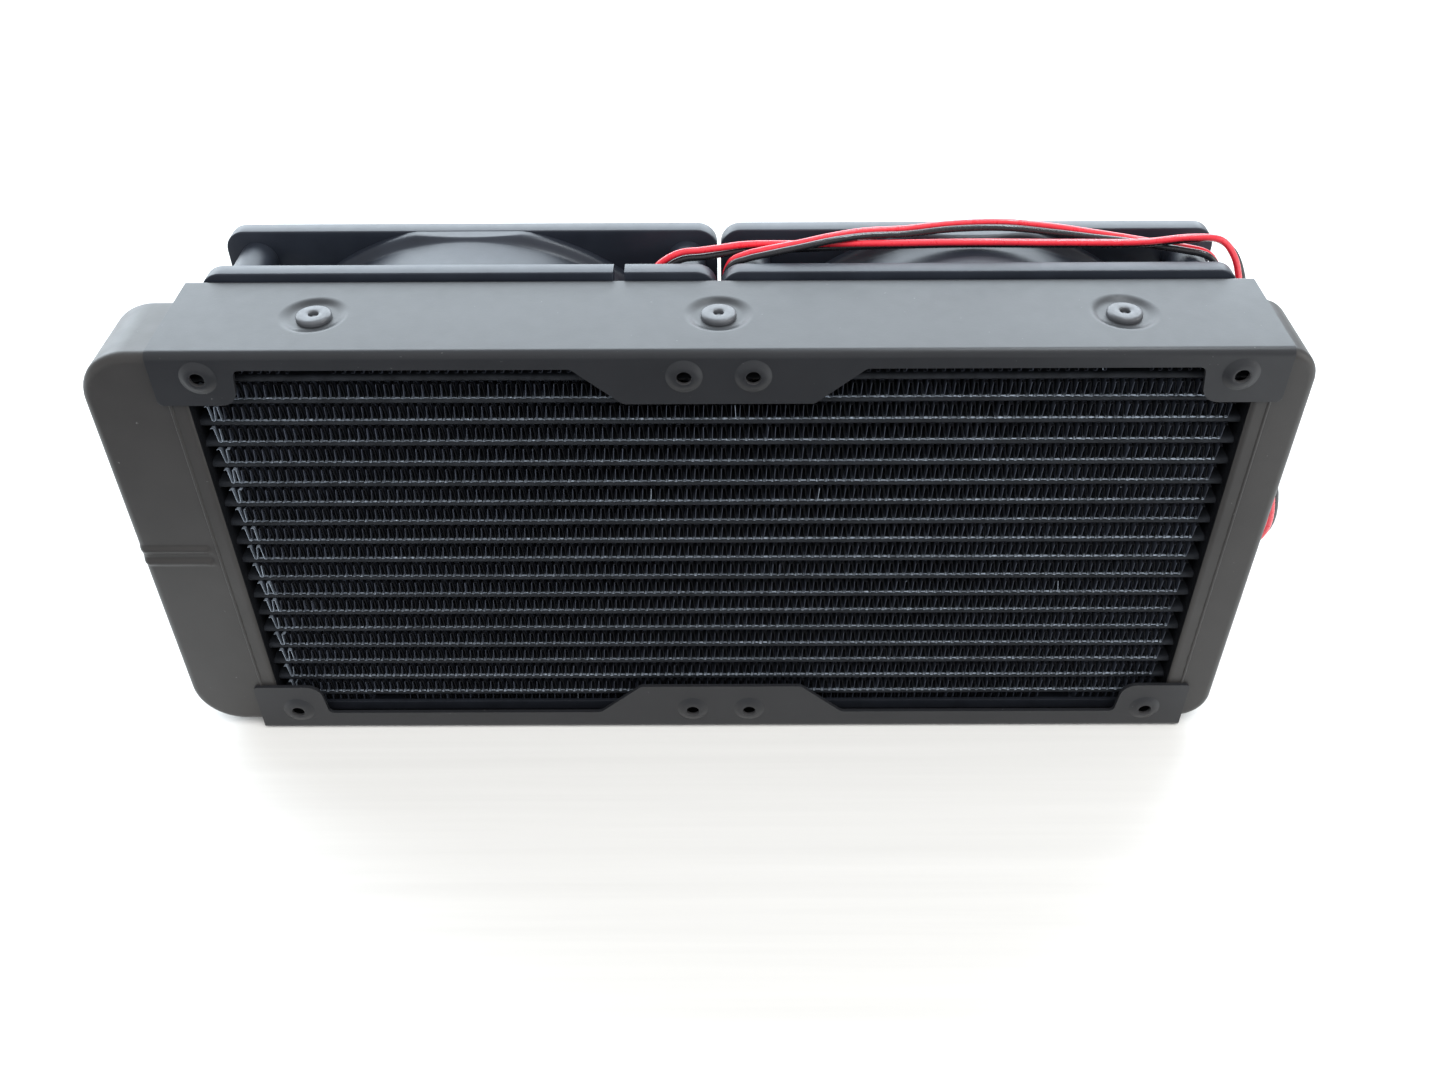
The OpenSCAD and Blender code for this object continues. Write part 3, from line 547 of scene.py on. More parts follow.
# ---------------------------------------------------------- folded brackets
def folded(name, mat, node_name, half, y0, y1, top, up, t, sheet, ro, front, rear,
           holes, dimples, bevel=0.14):
    """Sheet folded into a channel: front(t) and rear(t) give the lower edge of
    each flange as (x, z) from -half to half; holes = (x, z, r, collar, face);
    dimples = (x, y, depth, r)."""
    arc = ro * pi / 2
    s1 = t - ro
    s2 = s1 + arc
    s3 = s2 + (y1 - y0) - 2 * ro
    s4 = s3 + arc
    S = s4 + s1

    def place(s):
        if s <= s1:
            return y0, s - t, (0, -1, 0)
        if s <= s2:
            a = (s - s1) / ro
            return y0 + ro - ro * cos(a), -ro + ro * sin(a), (0, -cos(a), sin(a))
        if s <= s3:
            return y0 + ro + s - s2, 0.0, (0, 0, 1)
        if s <= s4:
            a = (s - s3) / ro
            return y1 - ro + ro * sin(a), -ro + ro * cos(a), (0, sin(a), cos(a))
        return y1, -(s - s4) - ro, (0, 1, 0)

    outline = [(x, t + z) for x, z in front] + [(x, S - t - z) for x, z in reversed(rear)]
    loops, rings, bumps = [], [], []
    for x, z, rad, collar, face in holes:
        s = t + z if face == "front" else S - t - z
        loops.append(circle(x, s, rad, 40))
        if collar:
            for q in (2.05, 2.45, 2.85, 3.25, 3.65, 4.0, 4.15):
                rings.append(circle(x, s, q, 40))
            bumps.append((x, s, collar))
    dims = []
    for x, y, depth, rad in dimples:
        s = s2 + y - y0 - ro
        loops.append(circle(x, s, rad, 48))
        for q in (3.2, 4.4, 4.9, 5.3, 5.7, 6.1, 6.5, 6.9, 7.3, 7.7, 8.05):
            rings.append(circle(x, s, q, 72))
        dims.append((x, s, depth))
    pts, edges = [], []

    def loop(l, closed=True):
        k = len(pts)
        pts.extend(Vector(p) for p in l)
        n = len(l)
        edges.extend((k + i, k + (i + 1) % n) for i in range(n if closed else n - 1))

    loop(outline)
    for l in loops + rings:
        loop(l)
    for sa, sb in ((s1, s2), (s3, s4)):
        for k in range(9):
            s = sa + (sb - sa) * k / 8
            loop([(-half - 1, s), (half + 1, s)], False)
    vs, _, fs, *_ = delaunay_2d_cdt(pts, edges, [], 0, 1e-4)
    keep = []
    for f in fs:
        c = (vs[f[0]] + vs[f[1]] + vs[f[2]]) / 3
        if inside(outline, c.x, c.y) and not any(inside(l, c.x, c.y) for l in loops):
            keep.append(tuple(f))
    used = sorted({i for f in keep for i in f})
    idx = {}
    m = Mesh()

    def height(x, s):
        h = 0.0
        for cx, cs, c in bumps:
            q = math.hypot(x - cx, s - cs)
            if q < 4.15:
                w = max(0.0, min(1.0, (4.1 - q) / (4.1 - 1.9)))
                h += c * sin(w * pi / 2) ** 0.95
        for cx, cs, dd in dims:
            q = math.hypot(x - cx, s - cs)
            if q < 8.0 and dd:
                w = max(0.0, min(1.0, (7.9 - q) / (7.9 - 5.1)))
                h -= dd * (0.5 - 0.5 * cos(w * pi))
        return h

    outer, inner = [], []
    for i in used:
        x, s = vs[i]
        y, z, n = place(s)
        h = height(x, s)
        idx[i] = len(outer)
        outer.append((x, y + n[1] * h, top + up * (z + n[2] * h)))
        h -= sheet
        inner.append((x, y + n[1] * h, top + up * (z + n[2] * h)))
    a = m.ring(outer)
    b = m.ring(inner)
    count = {}
    for f in keep:
        g = [idx[i] for i in f]
        m.f.append(tuple(a[i] for i in g))
        m.f.append(tuple(b[i] for i in reversed(g)))
        for i in range(3):
            e = (g[i], g[(i + 1) % 3])
            key = (min(e), max(e))
            count[key] = None if key in count else e
    for e in count.values():
        if e:
            m.f.append((a[e[1]], a[e[0]], b[e[0]], b[e[1]]))
    o = m.make(name, mat, (node_name,), bevel=bevel, bevel_angle=48)
    o.data.materials.append(port_paint_and_hole_glint)
    # painted glint: the walls of the collared front holes take the lighter port paint, for the glint of
    # their threads
    for f in o.data.polygons:
        c = o.location + f.center
        x, z = c.x * 1000 - OX, c.z * 1000
        for hx, hz, rad, collar, face in holes:
            if collar and math.hypot(x - hx, z - (top + up * hz)) < rad + 0.05:
                f.material_index = 1
    return o


def flange_edge(t, s, half):
    """Lower edge of a bracket flange, middle tab, two windows and end tabs."""
    right = [(21, -t), (32, -s), (104.6, -s), (105.6, -t), (half, -t)]
    poly = [(-x, z) for x, z in reversed(right)] + right
    closed = poly + [(half, 0), (-half, 0)]
    radii = [1.2, 4.0, 1.4, 2.2, 2.2, 2.2, 2.2, 1.4, 4.0, 1.2, 0, 0]
    out = fillet(closed, radii, 6)
    return out[:-2]


RIVET_X = (-90, 0, 90)
HOLE_X = (-112.5, -7.5, 7.5, 112.5)
HALF = 123.0
for nm, nd, top, up, t, s, row, dd in (
        ("top_bracket_sheet", "top_bracket", 118.6, 1, 13.3, 4.3, 6.1, 0.8),
        ("bottom_bracket_sheet", "bottom_bracket", 0.0, -1, 15.9, 6.2, 7.5, 1.9)):
    edge = flange_edge(t, s, HALF)
    folded(nm, paint, nd, HALF, 0, 32, top, up, t, 1.0, 1.8, edge, edge,
           [(x, -row, 1.65, 0.9, "front") for x in HOLE_X]
           + [(x, -row, 1.85, 0, "rear") for x in HOLE_X],
           [(x, 16, dd, 2.05) for x in RIVET_X])


def lip_edge(t, half, scallop_z):
    """Lower edge of a side plate's lip, with scallops round the flange holes."""
    pts = [(-half, -t)]
    for x in HOLE_X:
        w = math.sqrt(max(0.0, 2.2 ** 2 - (t + scallop_z) ** 2))
        a0 = math.atan2(-t - scallop_z, -w)
        a1 = math.atan2(-t - scallop_z, w)
        n = 10
        up_a, up_b = a0 % (2 * pi), a1 % (2 * pi)
        if up_b > up_a:
            up_b -= 2 * pi
        for k in range(n + 1):
            a = up_a + (up_b - up_a) * k / n
            pts.append((x + 2.2 * cos(a), scallop_z + 2.2 * sin(a)))
    pts.append((half, -t))
    return pts


for nm, nd, top, up, scallop in (("upper_side_channel", "upper_side_plate", 116.4, 1, -3.9),
                                 ("lower_side_channel", "lower_side_plate", 2.9, -1, -4.6)):
    edge = lip_edge(4.0, 115.5, scallop)
    folded(nm, plate_paint, nd, 115.5, 3.5, 22.5, top, up, 4.0, 1.0, 1.3, edge, edge,
           [], [(x, 16, 0.0, 2.05) for x in RIVET_X], bevel=0.1)


# ------------------------------------------------------------------- tanks
def make_tank(name, node_name, seam, out, w, h, rad, ports=(), beads=()):
    """Pressed cup. out is -1 or +1, the way it grows from its seam."""
    z0, z1, y0, y1, e = 2.2, 2.2 + h, 1.0, 25.0, 2.2
    m = Mesh()
    side = [z1 - rad - 1]
    for b in beads:
        side += [b + q for q in (2.2, 1.7, 1.3, 0.9, 0.45, 0, -0.45, -0.9, -1.3, -1.7, -2.2)]
    side = sorted({round(q, 3) for q in side if z0 + rad < q < z1 - rad}, reverse=True)

    def path(o):
        """Open outline from the seam above to the seam below, offset inwards."""
        pts = [(seam, z1 - o), (seam + out * 0.35, z1 - o)]
        cx = seam + out * (w - rad)
        rr = rad - o
        for k in range(13):
            a = pi / 2 * k / 12
            pts.append((cx + out * rr * sin(a), z1 - rad + rr * cos(a)))
        pts += [(cx + out * rr, z) for z in side]
        for k in range(13):
            a = pi / 2 * k / 12
            pts.append((cx + out * rr * cos(a), z0 + rad - rr * sin(a)))
        pts += [(seam + out * 0.35, z0 + o), (seam, z0 + o)]
        return pts

    def bump(x, z, lean):
        """Height of the pressed beads on the front at x, z."""
        hgt = 0.0
        for b in beads:
            q = abs(z - b)
            if q < 1.3:
                hgt = max(hgt, cos(q / 1.3 * pi / 2) ** 1.2)
        dist = abs(x - seam)
        near = max(0.0, min(1.0, (dist - 1.1) / 1.6))
        return 0.78 * hgt * (near * near * (3 - 2 * near)) * lean

    rings = []
    n = 6
    for k in range(n + 1):
        a = pi / 2 * k / n
        o = e * (1 - sin(a))
        rings.append(m.ring([(x, y0 + e * (1 - cos(a)) - bump(x, z, cos(a)), z) for x, z in path(o)]))
    for k in range(n, -1, -1):
        a = pi / 2 * k / n
        o = e * (1 - sin(a))
        rings.append(m.ring([(x, y1 - e * (1 - cos(a)), z) for x, z in path(o)]))
    for a, b in zip(rings, rings[1:]):
        m.bridge(a, b, closed=False)
    flat = path(e)
    lines = []
    xo = seam + out * (w - e)
    for z in side:
        cols = [xo + (seam - xo) * k / 8 for k in range(1, 8)]
        cols += [seam + out * q for q in (2.7, 2.2, 1.7, 1.2)]
        cols = sorted(set(round(c, 4) for c in cols), key=lambda c: -out * c)
        if beads and any(abs(z - b) <= 2.3 for b in beads):
            lines.append([(xo, z)] + [(c, z) for c in cols] + [(seam, z)])
    m.cap(flat, [], lambda x, z: (x, y0 - bump(x, z, 1), z), lines)
    m.cap(flat, [circle(seam + out * w / 2, pz, 8.04, 64) for pz in ports],
          lambda x, z: (x, y1, z))
    return m.make(name, tank_paint, (node_name,), shell=1.5, bevel=0.22,
                  bevel_angle=50, centre=(seam + out * w / 2, 13, 60))


H = 115.4
make_tank("left_tank_shell", "left_tank", -121, -1, 19, H, 12, ports=(38, 83), beads=(59, 62.8))
make_tank("right_tank_shell", "right_tank", 121, 1, 9, H, 8)


def stadium(cy, cz, w, t, n=10):
    out = []
    for k in range(n + 1):
        a = -pi / 2 + pi * k / n
        out.append((cy + (w - t) / 2 + t / 2 * cos(a), cz + t / 2 * sin(a)))
    for k in range(n + 1):
        a = pi / 2 + pi * k / n
        out.append((cy - (w - t) / 2 + t / 2 * cos(a), cz + t / 2 * sin(a)))
    return out


TUBE_Z = [59.6 + (i - 8.5) * 5.87 for i in range(18)]


def make_header(name, node_name, out):
    """Shallow cup with rolled rim, brazed to the tank; slots for the tubes."""
    m = Mesh()
    y0, y1, z0, z1 = 1.0, 25.0, 2.3, 117.5

    def outline(o):
        return rrect(y0 + o, y1 - o, z0 + o, z1 - o, 2.0 - o * 0.6, 6)

    slots = [stadium(13, z, 18.16, 1.86) for z in TUBE_Z]
    x = lambda v: out * v
    prof = [(0.9, 117.0), (0.5, 117.1), (0.2, 117.35), (0.02, 117.8), (0, 118.4), (0, 120.2),
            (0.0, 120.75), (0.12, 120.93), (0.3, 121.0)]
    rings = [m.ring([(x(v), y, z) for y, z in outline(o)]) for o, v in prof]
    for a, b in zip(rings, rings[1:]):
        m.bridge(a, b)
    m.cap(outline(0.9), slots, lambda y, z: (x(117.0), y, z))
    inner = [(1.2, 121.0), (1.2, 118.5), (1.35, 118.3), (1.7, 118.2)]
    ir = [m.ring([(x(v), y, z) for y, z in outline(o)]) for o, v in inner]
    m.bridge(rings[-1], ir[0])
    for a, b in zip(ir, ir[1:]):
        m.bridge(a, b)
    m.cap(outline(1.7), slots, lambda y, z: (x(118.2), y, z))
    for s in slots:
        m.bridge(m.ring([(x(117.0), y, z) for y, z in s]), m.ring([(x(118.2), y, z) for y, z in s]))
    # fillet of braze standing along the seam, front and back
    for yy, sg in ((1.05, -1), (24.95, 1)):
        last = None
        for k in range(90):
            z = 4.2 + 111.0 * k / 89
            rr = 0.40 + 0.035 * sin(z * 1.3) + 0.03 * sin(z * 3.7 + 1)
            ring = m.ring([(x(120.9) + rr * cos(q * pi / 5), yy + 0.8 * rr * sin(q * pi / 5), z)
                           for q in range(10)])
            if last:
                m.bridge(last, ring)
            else:
                m.f.append(tuple(reversed(ring)))
            last = ring
        m.f.append(tuple(last))
    o = m.make(name, tank_paint, (node_name,), sharp=40)
    o.data.materials.append(painted_shade_paint)
    # painted shade: the cap face round the tube slots takes the near-black paint for the deep shade inside
    # the header
    for f in o.data.polygons:
        if abs(f.normal.x) > 0.8 and abs(f.center.x * 1000 + o.location.x * 1000 - W((out * 117.0, 0, 0)).x * 1000) < 0.4:
            f.material_index = 1
    return o


make_header("left_header_cup", "left_header_plate", -1)
make_header("right_header_cup", "right_header_plate", 1)


# -------------------------------------------------------------------- ports
def make_port(name, node_name, z0):
    """Hexless threaded insert: collar, turned groove and a real G1/4 helix."""
    m = Mesh()
    cx, cy = -130.5, 25.0
    tf = lambda p: (cx + p[0], cy + p[2], z0 - p[1])
    prof = [(7.98, -8.0), (8.0, -7.6), (8.0, 0.0), (8.7, 0.0), (9.0, 0.25), (9.0, 2.9), (8.85, 3.25),
            (8.5, 3.4), (7.4, 3.4), (7.25, 3.32), (7.1, 3.4), (6.75, 3.4), (6.45, 3.1)]
    m.lathe(prof, 72, tf, close=False)
    m.f.pop()
    m.f.pop()
    n, rows, pitch = 72, 90, 1.337
    last = None
    first = None
    for j in range(rows + 1):
        z = 3.1 - (3.1 + 8.0) * j / rows
        ring = []
        for i in range(n):
            ph = ((z / pitch) + i / n) % 1.0
            tri = abs(2 * ph - 1)
            depth = min(1.0, (3.1 - z) / 0.9)
            rad = 5.9 + 0.62 * max(0.0, min(1.0, (tri - 0.14) / 0.72)) * depth + (1 - depth) * 0.55
            if j in (0, rows):
                rad = 6.45 if j == 0 else 6.2
            ring.append((rad * cos(2 * pi * i / n), rad * sin(2 * pi * i / n), z))
        ids = m.ring([tf(p) for p in ring])
        if last:
            m.bridge(last, ids)
        first = first or ids
        last = ids
    back = m.ring([tf((7.98 * cos(2 * pi * i / n), 7.98 * sin(2 * pi * i / n), -8.0)) for i in range(n)])
    m.bridge(last, back)
    return m.make(name, port_paint_and_hole_glint, (node_name,), sharp=45)


make_port("inlet_thread", "inlet_port", 83)
make_port("outlet_thread", "outlet_port", 38)


# --------------------------------------------------------------------- core
def make_tubes():
    m = Mesh()
    braze = {}
    xs = [-119.5 + 239.0 * k / 60 for k in range(61)]
    for ti, zc in enumerate(TUBE_Z):
        sec_o = stadium(0, 0, 18.1, 1.8, 12)
        sec_i = stadium(0, 0, 17.5, 1.2, 6)
        ph = rnd.uniform(0, 6.3)
        last = None
        ends = []
        for x in xs:
            # rolled tube: straight within a few hundredths
            dz = 0.03 * sin(x * 0.071 + ph) + 0.02 * sin(x * 0.23 + 2 * ph)
            fade = min(1.0, (119.5 - abs(x)) / 8.0)
            ring = m.ring([(x, 13 + y, zc + z + dz * fade) for y, z in sec_o])
            if last:
                m.bridge(last, ring)
            else:
                ends.append(ring)
            last = ring
        ends.append(last)
        for x, outer in ((xs[0], ends[0]), (xs[-1], ends[1])):
            m.cap([(13 + y, zc + z) for y, z in sec_o], [[(13 + y, zc + z) for y, z in sec_i]],
                  lambda y, z, x=x: (x, y, z))
        m.bridge(m.ring([(xs[0], 13 + y, zc + z) for y, z in sec_i]),
                 m.ring([(xs[-1], 13 + y, zc + z) for y, z in sec_i]))
        # fillet of braze along the upper front edge, fuller under each fold
        if ti < len(TUBE_Z) - 1:
            last = None
            for k in range(453):
                x = -113.0 + 0.5 * k
                dz = 0.03 * sin(x * 0.071 + ph) + 0.02 * sin(x * 0.23 + 2 * ph)
                rr = 0.19 + 0.07 * sin(x * 3.05 + ph) + 0.03 * sin(x * 1.1 + 3 * ph)
                ring = m.ring([(x, 4.22 + rr * cos(q * pi / 3), zc + 0.80 + dz + rr * sin(q * pi / 3))
                               for q in range(6)])
                if last:
                    # painted highlight: each stretch of bead takes the pale tone at random, more often
                    # towards the right and mostly on the lowest tube; the rest takes the mid crest tone,
                    # also a painted highlight
                    light = 0.06 + 0.8 * max(0.0, min(1.0, (x + 20 + 25 * sin(ti * 2.3)) / 90))
                    if ti == 0:
                        light = 0.8
                    kind = 2 if rnd.random() < light else 1
                    for q in range(6):
                        braze[len(m.f) + q] = kind
                    m.bridge(last, ring)
                else:
                    m.f.append(tuple(reversed(ring)))
                last = ring
            m.f.append(tuple(last))
    o = m.make("tube_bank", tube_paint_and_shade, ("flat_tubes",), sharp=50)
    o.data.materials.append(crest_highlight_and_wear_paint)
    o.data.materials.append(worn_edge_and_highlight)
    if len(o.data.polygons) == len(m.f):
        for k, kind in braze.items():
            o.data.polygons[k].material_index = kind
    return o


make_tubes()

FIN_PERIOD = 2.06
FIN_T = 0.11


def fin_rows():
    """Corrugated foil between the tubes. Each row is one long folded strip with
    louvred walls, rounded crests and the small bends of handling."""
    verts, faces, worn_and_highlight_faces, crest_highlight_and_wear_faces, shade = [], [], set(), set(), set()
    rows = []
    for i in range(17):
        rows.append((TUBE_Z[i] + 0.9, TUBE_Z[i + 1] - 0.9, 3.5, 22.5))
    rows.insert(0, (4.1, TUBE_Z[0] - 0.9, 4.75, 21.25))
    rows.append((TUBE_Z[-1] + 0.9, 115.2, 4.75, 21.25))
    for ri, (za, zb, ya, yb) in enumerate(rows):
        h = zb - za
        zc = (za + zb) / 2
        first = ri in (0, len(rows) - 1)
        n = int(229.6 / FIN_PERIOD)
        x0 = -n * FIN_PERIOD / 2
        depth = [0.0, 0.9, 2.3, 3.7, yb - ya]
        if ri == len(rows) - 1:
            depth = [0.0, 1.2, 2.6, 4.2, yb - ya]
        lean = rnd.uniform(-0.07, 0.05)
        pts = []
        drift = 0.0
        for k in range(2 * n + 1):
            s = 1 if k % 2 == 0 else -1
            drift = 0.8 * drift + rnd.gauss(0, 0.045)
            cx = x0 + k * FIN_PERIOD / 2 + drift + s * lean
            # crest of three points: shoulder, top, shoulder
            hw = 0.37 + rnd.uniform(-0.03, 0.03)
            top = h / 2 - FIN_T / 2 - 0.012
            pts += [(cx - hw, s * (top - 0.16)), (cx, s * top), (cx + hw, s * (top - 0.16))]
        # handling bends on the front edge: more at the left end and low down
        bends = []
        for _ in range(2 + int(3 * rnd.random())):
            bends.append((rnd.uniform(-112, 112), rnd.uniform(0.8, 2.2), rnd.uniform(-0.5, 0.5)))
        if ri < 9:
            bends.append((rnd.uniform(-114, -98), rnd.uniform(1.5, 4), rnd.uniform(-0.8, 0.8)))
        m = len(pts)
        norm = []
        for i in range(m):
            a = pts[max(0, i - 1)]
            b = pts[min(m - 1, i + 1)]
            l = math.hypot(b[0] - a[0], b[1] - a[1]) or 1
            norm.append((-(b[1] - a[1]) / l, (b[0] - a[0]) / l))
        base = len(verts)
        nd = len(depth)
        jit = [rnd.gauss(0, 0.05) for _ in range(m // 3 + 1)]
        for side in (1, -1):
            for j, q in enumerate(depth):
                for i, ((x, z), (nx, nz)) in enumerate(zip(pts, norm)):
                    y = ya + q
                    mid = 1.0 - abs(z) / (h / 2)
                    edge = (i % 3 != 1)
                    dx = 0.0
                    if j == 0:
                        for bx, bw, amt in bends:
                            g = abs(x - bx) / bw
                            if g < 1:
                                dx += amt * (1 - g * g)
                        dx += jit[i // 3]
                    elif j in (1, 2, 3):
                        # louvres: the wall steps to and fro along its depth
                        dx = (0.11 if j % 2 else -0.11) * (1 if edge else 0.3)
                    off = side * FIN_T / 2
                    verts.append(W((x + dx + nx * off, y, zc + z + nz * off)))
        # skip what stands in a rivet's way in the outer rows
        def cut(i):
            return first and any(abs(pts[i][0] - rx) < 4.2 for rx in RIVET_X)
        for i in range(m - 1):
            if cut(i) or cut(i + 1):
                continue
            endl = i == 0 or cut(i - 1)
            endr = i == m - 2 or cut(min(m - 1, i + 2))
            rubbed = pts[i][0] < -112.0 + 0.9 * sin(ri * 1.9 + pts[i][1]) and not first
            foot = pts[i][1] < 0 and i % 3 != 2 and not first
            # painted highlight: lower crests picked for the pale tone, more often towards the right and on
            # nearly all of the two low rows
            bright = foot and rnd.random() < 0.10 + 0.5 * max(0.0, min(1.0, (pts[i][0] + 10) / 90))
            bright = bright or foot and ri in (1, 2) and -96 < pts[i][0] < 102
            for j in range(nd - 1):
                a = base + j * m + i
                b = base + (j + 1) * m + i
                # the first side faces follow the same wear, painted highlight and painted shade as the
                # front faces below
                if j == 0 and bright:
                    worn_and_highlight_faces.update((len(faces), len(faces) + 1))
                elif j == 0 and (foot or rubbed):
                    crest_highlight_and_wear_faces.update((len(faces), len(faces) + 1))
                elif j == 0 and pts[i][1] > h / 2 - 0.5:
                    shade.update((len(faces), len(faces) + 1))
                faces.append((a, a + 1, b + 1, b))
                a2, b2 = a + nd * m, b + nd * m
                faces.append((b2, b2 + 1, a2 + 1, a2))
                if endl:
                    faces.append((a, b, b2, a2))
                if endr:
                    faces.append((a + 1, a2 + 1, b2 + 1, b + 1))
            a = base + i
            a2 = a + nd * m
            # paint rubbed off the front edge at the left end, and a rare random face; the pale tone on
            # lower crests is a painted highlight, more often towards the right, and along the two low rows
            # nearly every lower crest takes it; the other lower crests take the mid tone, also painted
            # highlight, and the upper crests the near-black painted shade
            if rubbed or bright or rnd.random() < 0.0006:
                worn_and_highlight_faces.add(len(faces))
            elif foot:
                crest_highlight_and_wear_faces.add(len(faces))
            elif pts[i][1] > h / 2 - 0.5:
                shade.add(len(faces))
            faces.append((a + 1, a, a2, a2 + 1))
            b = base + (nd - 1) * m + i
            b2 = b + nd * m
            faces.append((b, b + 1, b2 + 1, b2))
    used = sorted({i for f in faces for i in f})
    idx = {v: k for k, v in enumerate(used)}
    me = bpy.data.meshes.new("fin_strips")
    me.from_pydata([verts[i] for i in used], [], [tuple(idx[i] for i in f) for f in faces])
    me.polygons.foreach_set("use_smooth", [True] * len(me.polygons))
    me.set_sharp_from_angle(angle=math.radians(50))
    me.materials.append(core_paint)
    me.materials.append(worn_edge_and_highlight)
    me.materials.append(crest_highlight_and_wear_paint)
    me.materials.append(painted_shade_paint)
    # near-black painted shade on upper crests, pale tone for wear and painted highlight, mid tone for
    # painted highlight and wear
    for k in shade:
        me.polygons[k].material_index = 3
    for k in worn_and_highlight_faces:
        me.polygons[k].material_index = 1
    for k in crest_highlight_and_wear_faces:
        me.polygons[k].material_index = 2
    o = bpy.data.objects.new("fin_strips", me)
    scene.collection.objects.link(o)
    return adopt(o, ("cooling_fins",))


fin_rows()


# ------------------------------------------------------------------- rivets
def make_rivets(name, node_name, base, up, grip=2.2):
    m = Mesh()
    prof = [(0.0, 0.92), (0.4, 0.88), (0.7, 0.7), (0.88, 0.4), (0.92, 0.0), (1.08, -0.1), (1.1, 1.0),
            (1.14, 1.36), (1.28, 1.52), (1.6, 1.6), (2.2, 1.62), (3.1, 1.60), (3.5, 1.53), (3.78, 1.36),
            (3.94, 1.1), (4.0, 0.8), (4.0, 0.28), (3.98, 0.06), (3.9, 0.0),
            (2.0, 0.0), (2.0, -grip), (2.55, -grip - 0.12), (2.8, -grip - 0.5), (2.8, -grip - 1.4),
            (2.5, -grip - 1.85), (1.9, -grip - 2.0), (0.0, -grip - 2.0)]
    for x in RIVET_X:
        m.lathe(prof, 56, lambda p, x=x: (x + p[0], 16 + p[1] * up, base + up * p[2]))
    return m.make(name, rivet_metal, (node_name,), sharp=42)


make_rivets("top_rivet_heads", "top_rivets", 117.4, 1)
make_rivets("bottom_rivet_heads", "bottom_rivets", 1.9, -1)


# --------------------------------------------------------------------- fans
def fan_tf(side):
    if side < 0:
        return lambda p: (-60.4 - p[0], 32 + p[2], 60 + p[1])
    return lambda p: (60.4 - p[1], 32 + p[2], 60 - p[0])


def rot2(x, y, a):
    return x * cos(a) - y * sin(a), x * sin(a) + y * cos(a)


def make_fan_frame(name, node_name, side):
    tf = fan_tf(side)
    lift = lambda x, y, z: tf((x, y, z))
    m = Mesh(tf)
    D = 57.5
    screw = [lambda o, cx=cx, cy=cy: circle(cx, cy, 2.15 + o, 32)
             for cx in (-52.5, 52.5) for cy in (-52.5, 52.5)]

    def square_edge(slot):
        def fn(o):
            loop = rrect(-60 + o, 60 - o, -60 + o, 60 - o, 5 - o, 10)
            if not slot:
                return loop
            out = []
            for i, p in enumerate(loop):
                out.append(p)
                q = loop[(i + 1) % len(loop)]
                # the slot for the lead opens the upper edge, at x -38.6 to -36
                if p[1] > 59 - o and q[1] > 59 - o and p[0] > -36 > -38.6 > q[0]:
                    out += [(-36 + o, 60 - o), (-36 + o, 54.2), (-36.3 + o, 53.6),
                            (-38.3 - o, 53.6), (-38.6 - o, 54.2), (-38.6 - o, 60 - o)]
            return out
        return fn

    ident = lambda x, y, z: (x, y, z)
    duct_hole = lambda o: circle(0, 0, D + o, 180)
    m.plate(square_edge(True), [duct_hole] + screw, 0, 4.3, 0.35, 3, lift=ident)
    m.plate(square_edge(False), [duct_hole] + screw, 20.7, 25, 0.35, 3, lift=ident)
    # duct wall between the flanges, a little stouter towards the rear one
    prof_o = [(59.2, 4.0), (59.2, 16.2), (59.3, 16.7), (59.6, 17.2), (60.1, 17.7), (60.6, 18.1),
              (61.0, 18.45), (61.3, 18.9), (61.45, 19.5), (61.5, 20.8)]
    prof_i = [(D, 21.0), (D, 4.0)]
    trim = lambda v: max(-59.9, min(59.9, v))
    m.lathe(prof_o + prof_i, 180, lambda p: (trim(p[0]), trim(p[1]), p[2]), close=True)
    # corner posts with their screw holes
    for cx in (-52.5, 52.5):
        for cy in (-52.5, 52.5):
            m.lathe([(4.6, 4.1), (4.6, 20.9), (2.15, 20.9), (2.15, 4.1)], 40,
                    lambda p, cx=cx, cy=cy: (p[0] + cx, p[1] + cy, p[2]), close=True)
    # motor base, its bearing tube and the four struts
    m.lathe([(0, 1.2), (3.0, 1.2), (3.0, 18.3), (3.2, 18.5), (4.4, 18.5), (4.6, 18.3), (4.6, 3.0),
             (19.8, 3.0), (20.25, 2.8), (20.4, 2.45), (20.4, 1.0), (20.2, 0.62), (19.8, 0.5),
             (6.2, 0.5), (6.0, 0.7), (6.0, 0.9), (0, 0.9)], 96, lambda p: (p[0], p[1], p[2]))
    for k in range(4):
        a = math.radians(122 + 90 * k)
        secs = []
        for x in (19.0, 26, 38, 50, 58.3):
            f = (x - 19) / 39.3
            w = 2.0
            zt = 4.4
            loop = rrect(-w, w, 0.6, zt, 0.7, 4)
            secs.append(m.ring([(*rot2(x, py, a), pz) for py, pz in loop]))
        for s, t in zip(secs, secs[1:]):
            m.bridge(s, t)
        m.f.append(tuple(secs[0]))
        m.f.append(tuple(secs[-1]))
    return m.make(name, fan_plastic, (node_name,), sharp=40)


def blade_point(uu, v, s):
    rad = 19.2 + uu * (56.2 - 19.2)
    a = math.radians(-16 * uu + (v - 0.5) * (34 - 6 * uu))
    c = 1 - (2 * v - 1) ** 2
    z = 14.2 + (v - 0.5) * (14.5 - 2.5 * uu) + 2.2 * c * 0.6
    t = (0.9 - 0.25 * uu) * (0.25 + 0.75 * math.sqrt(max(0, c)))
    return rad * cos(a), rad * sin(a), z + s * t


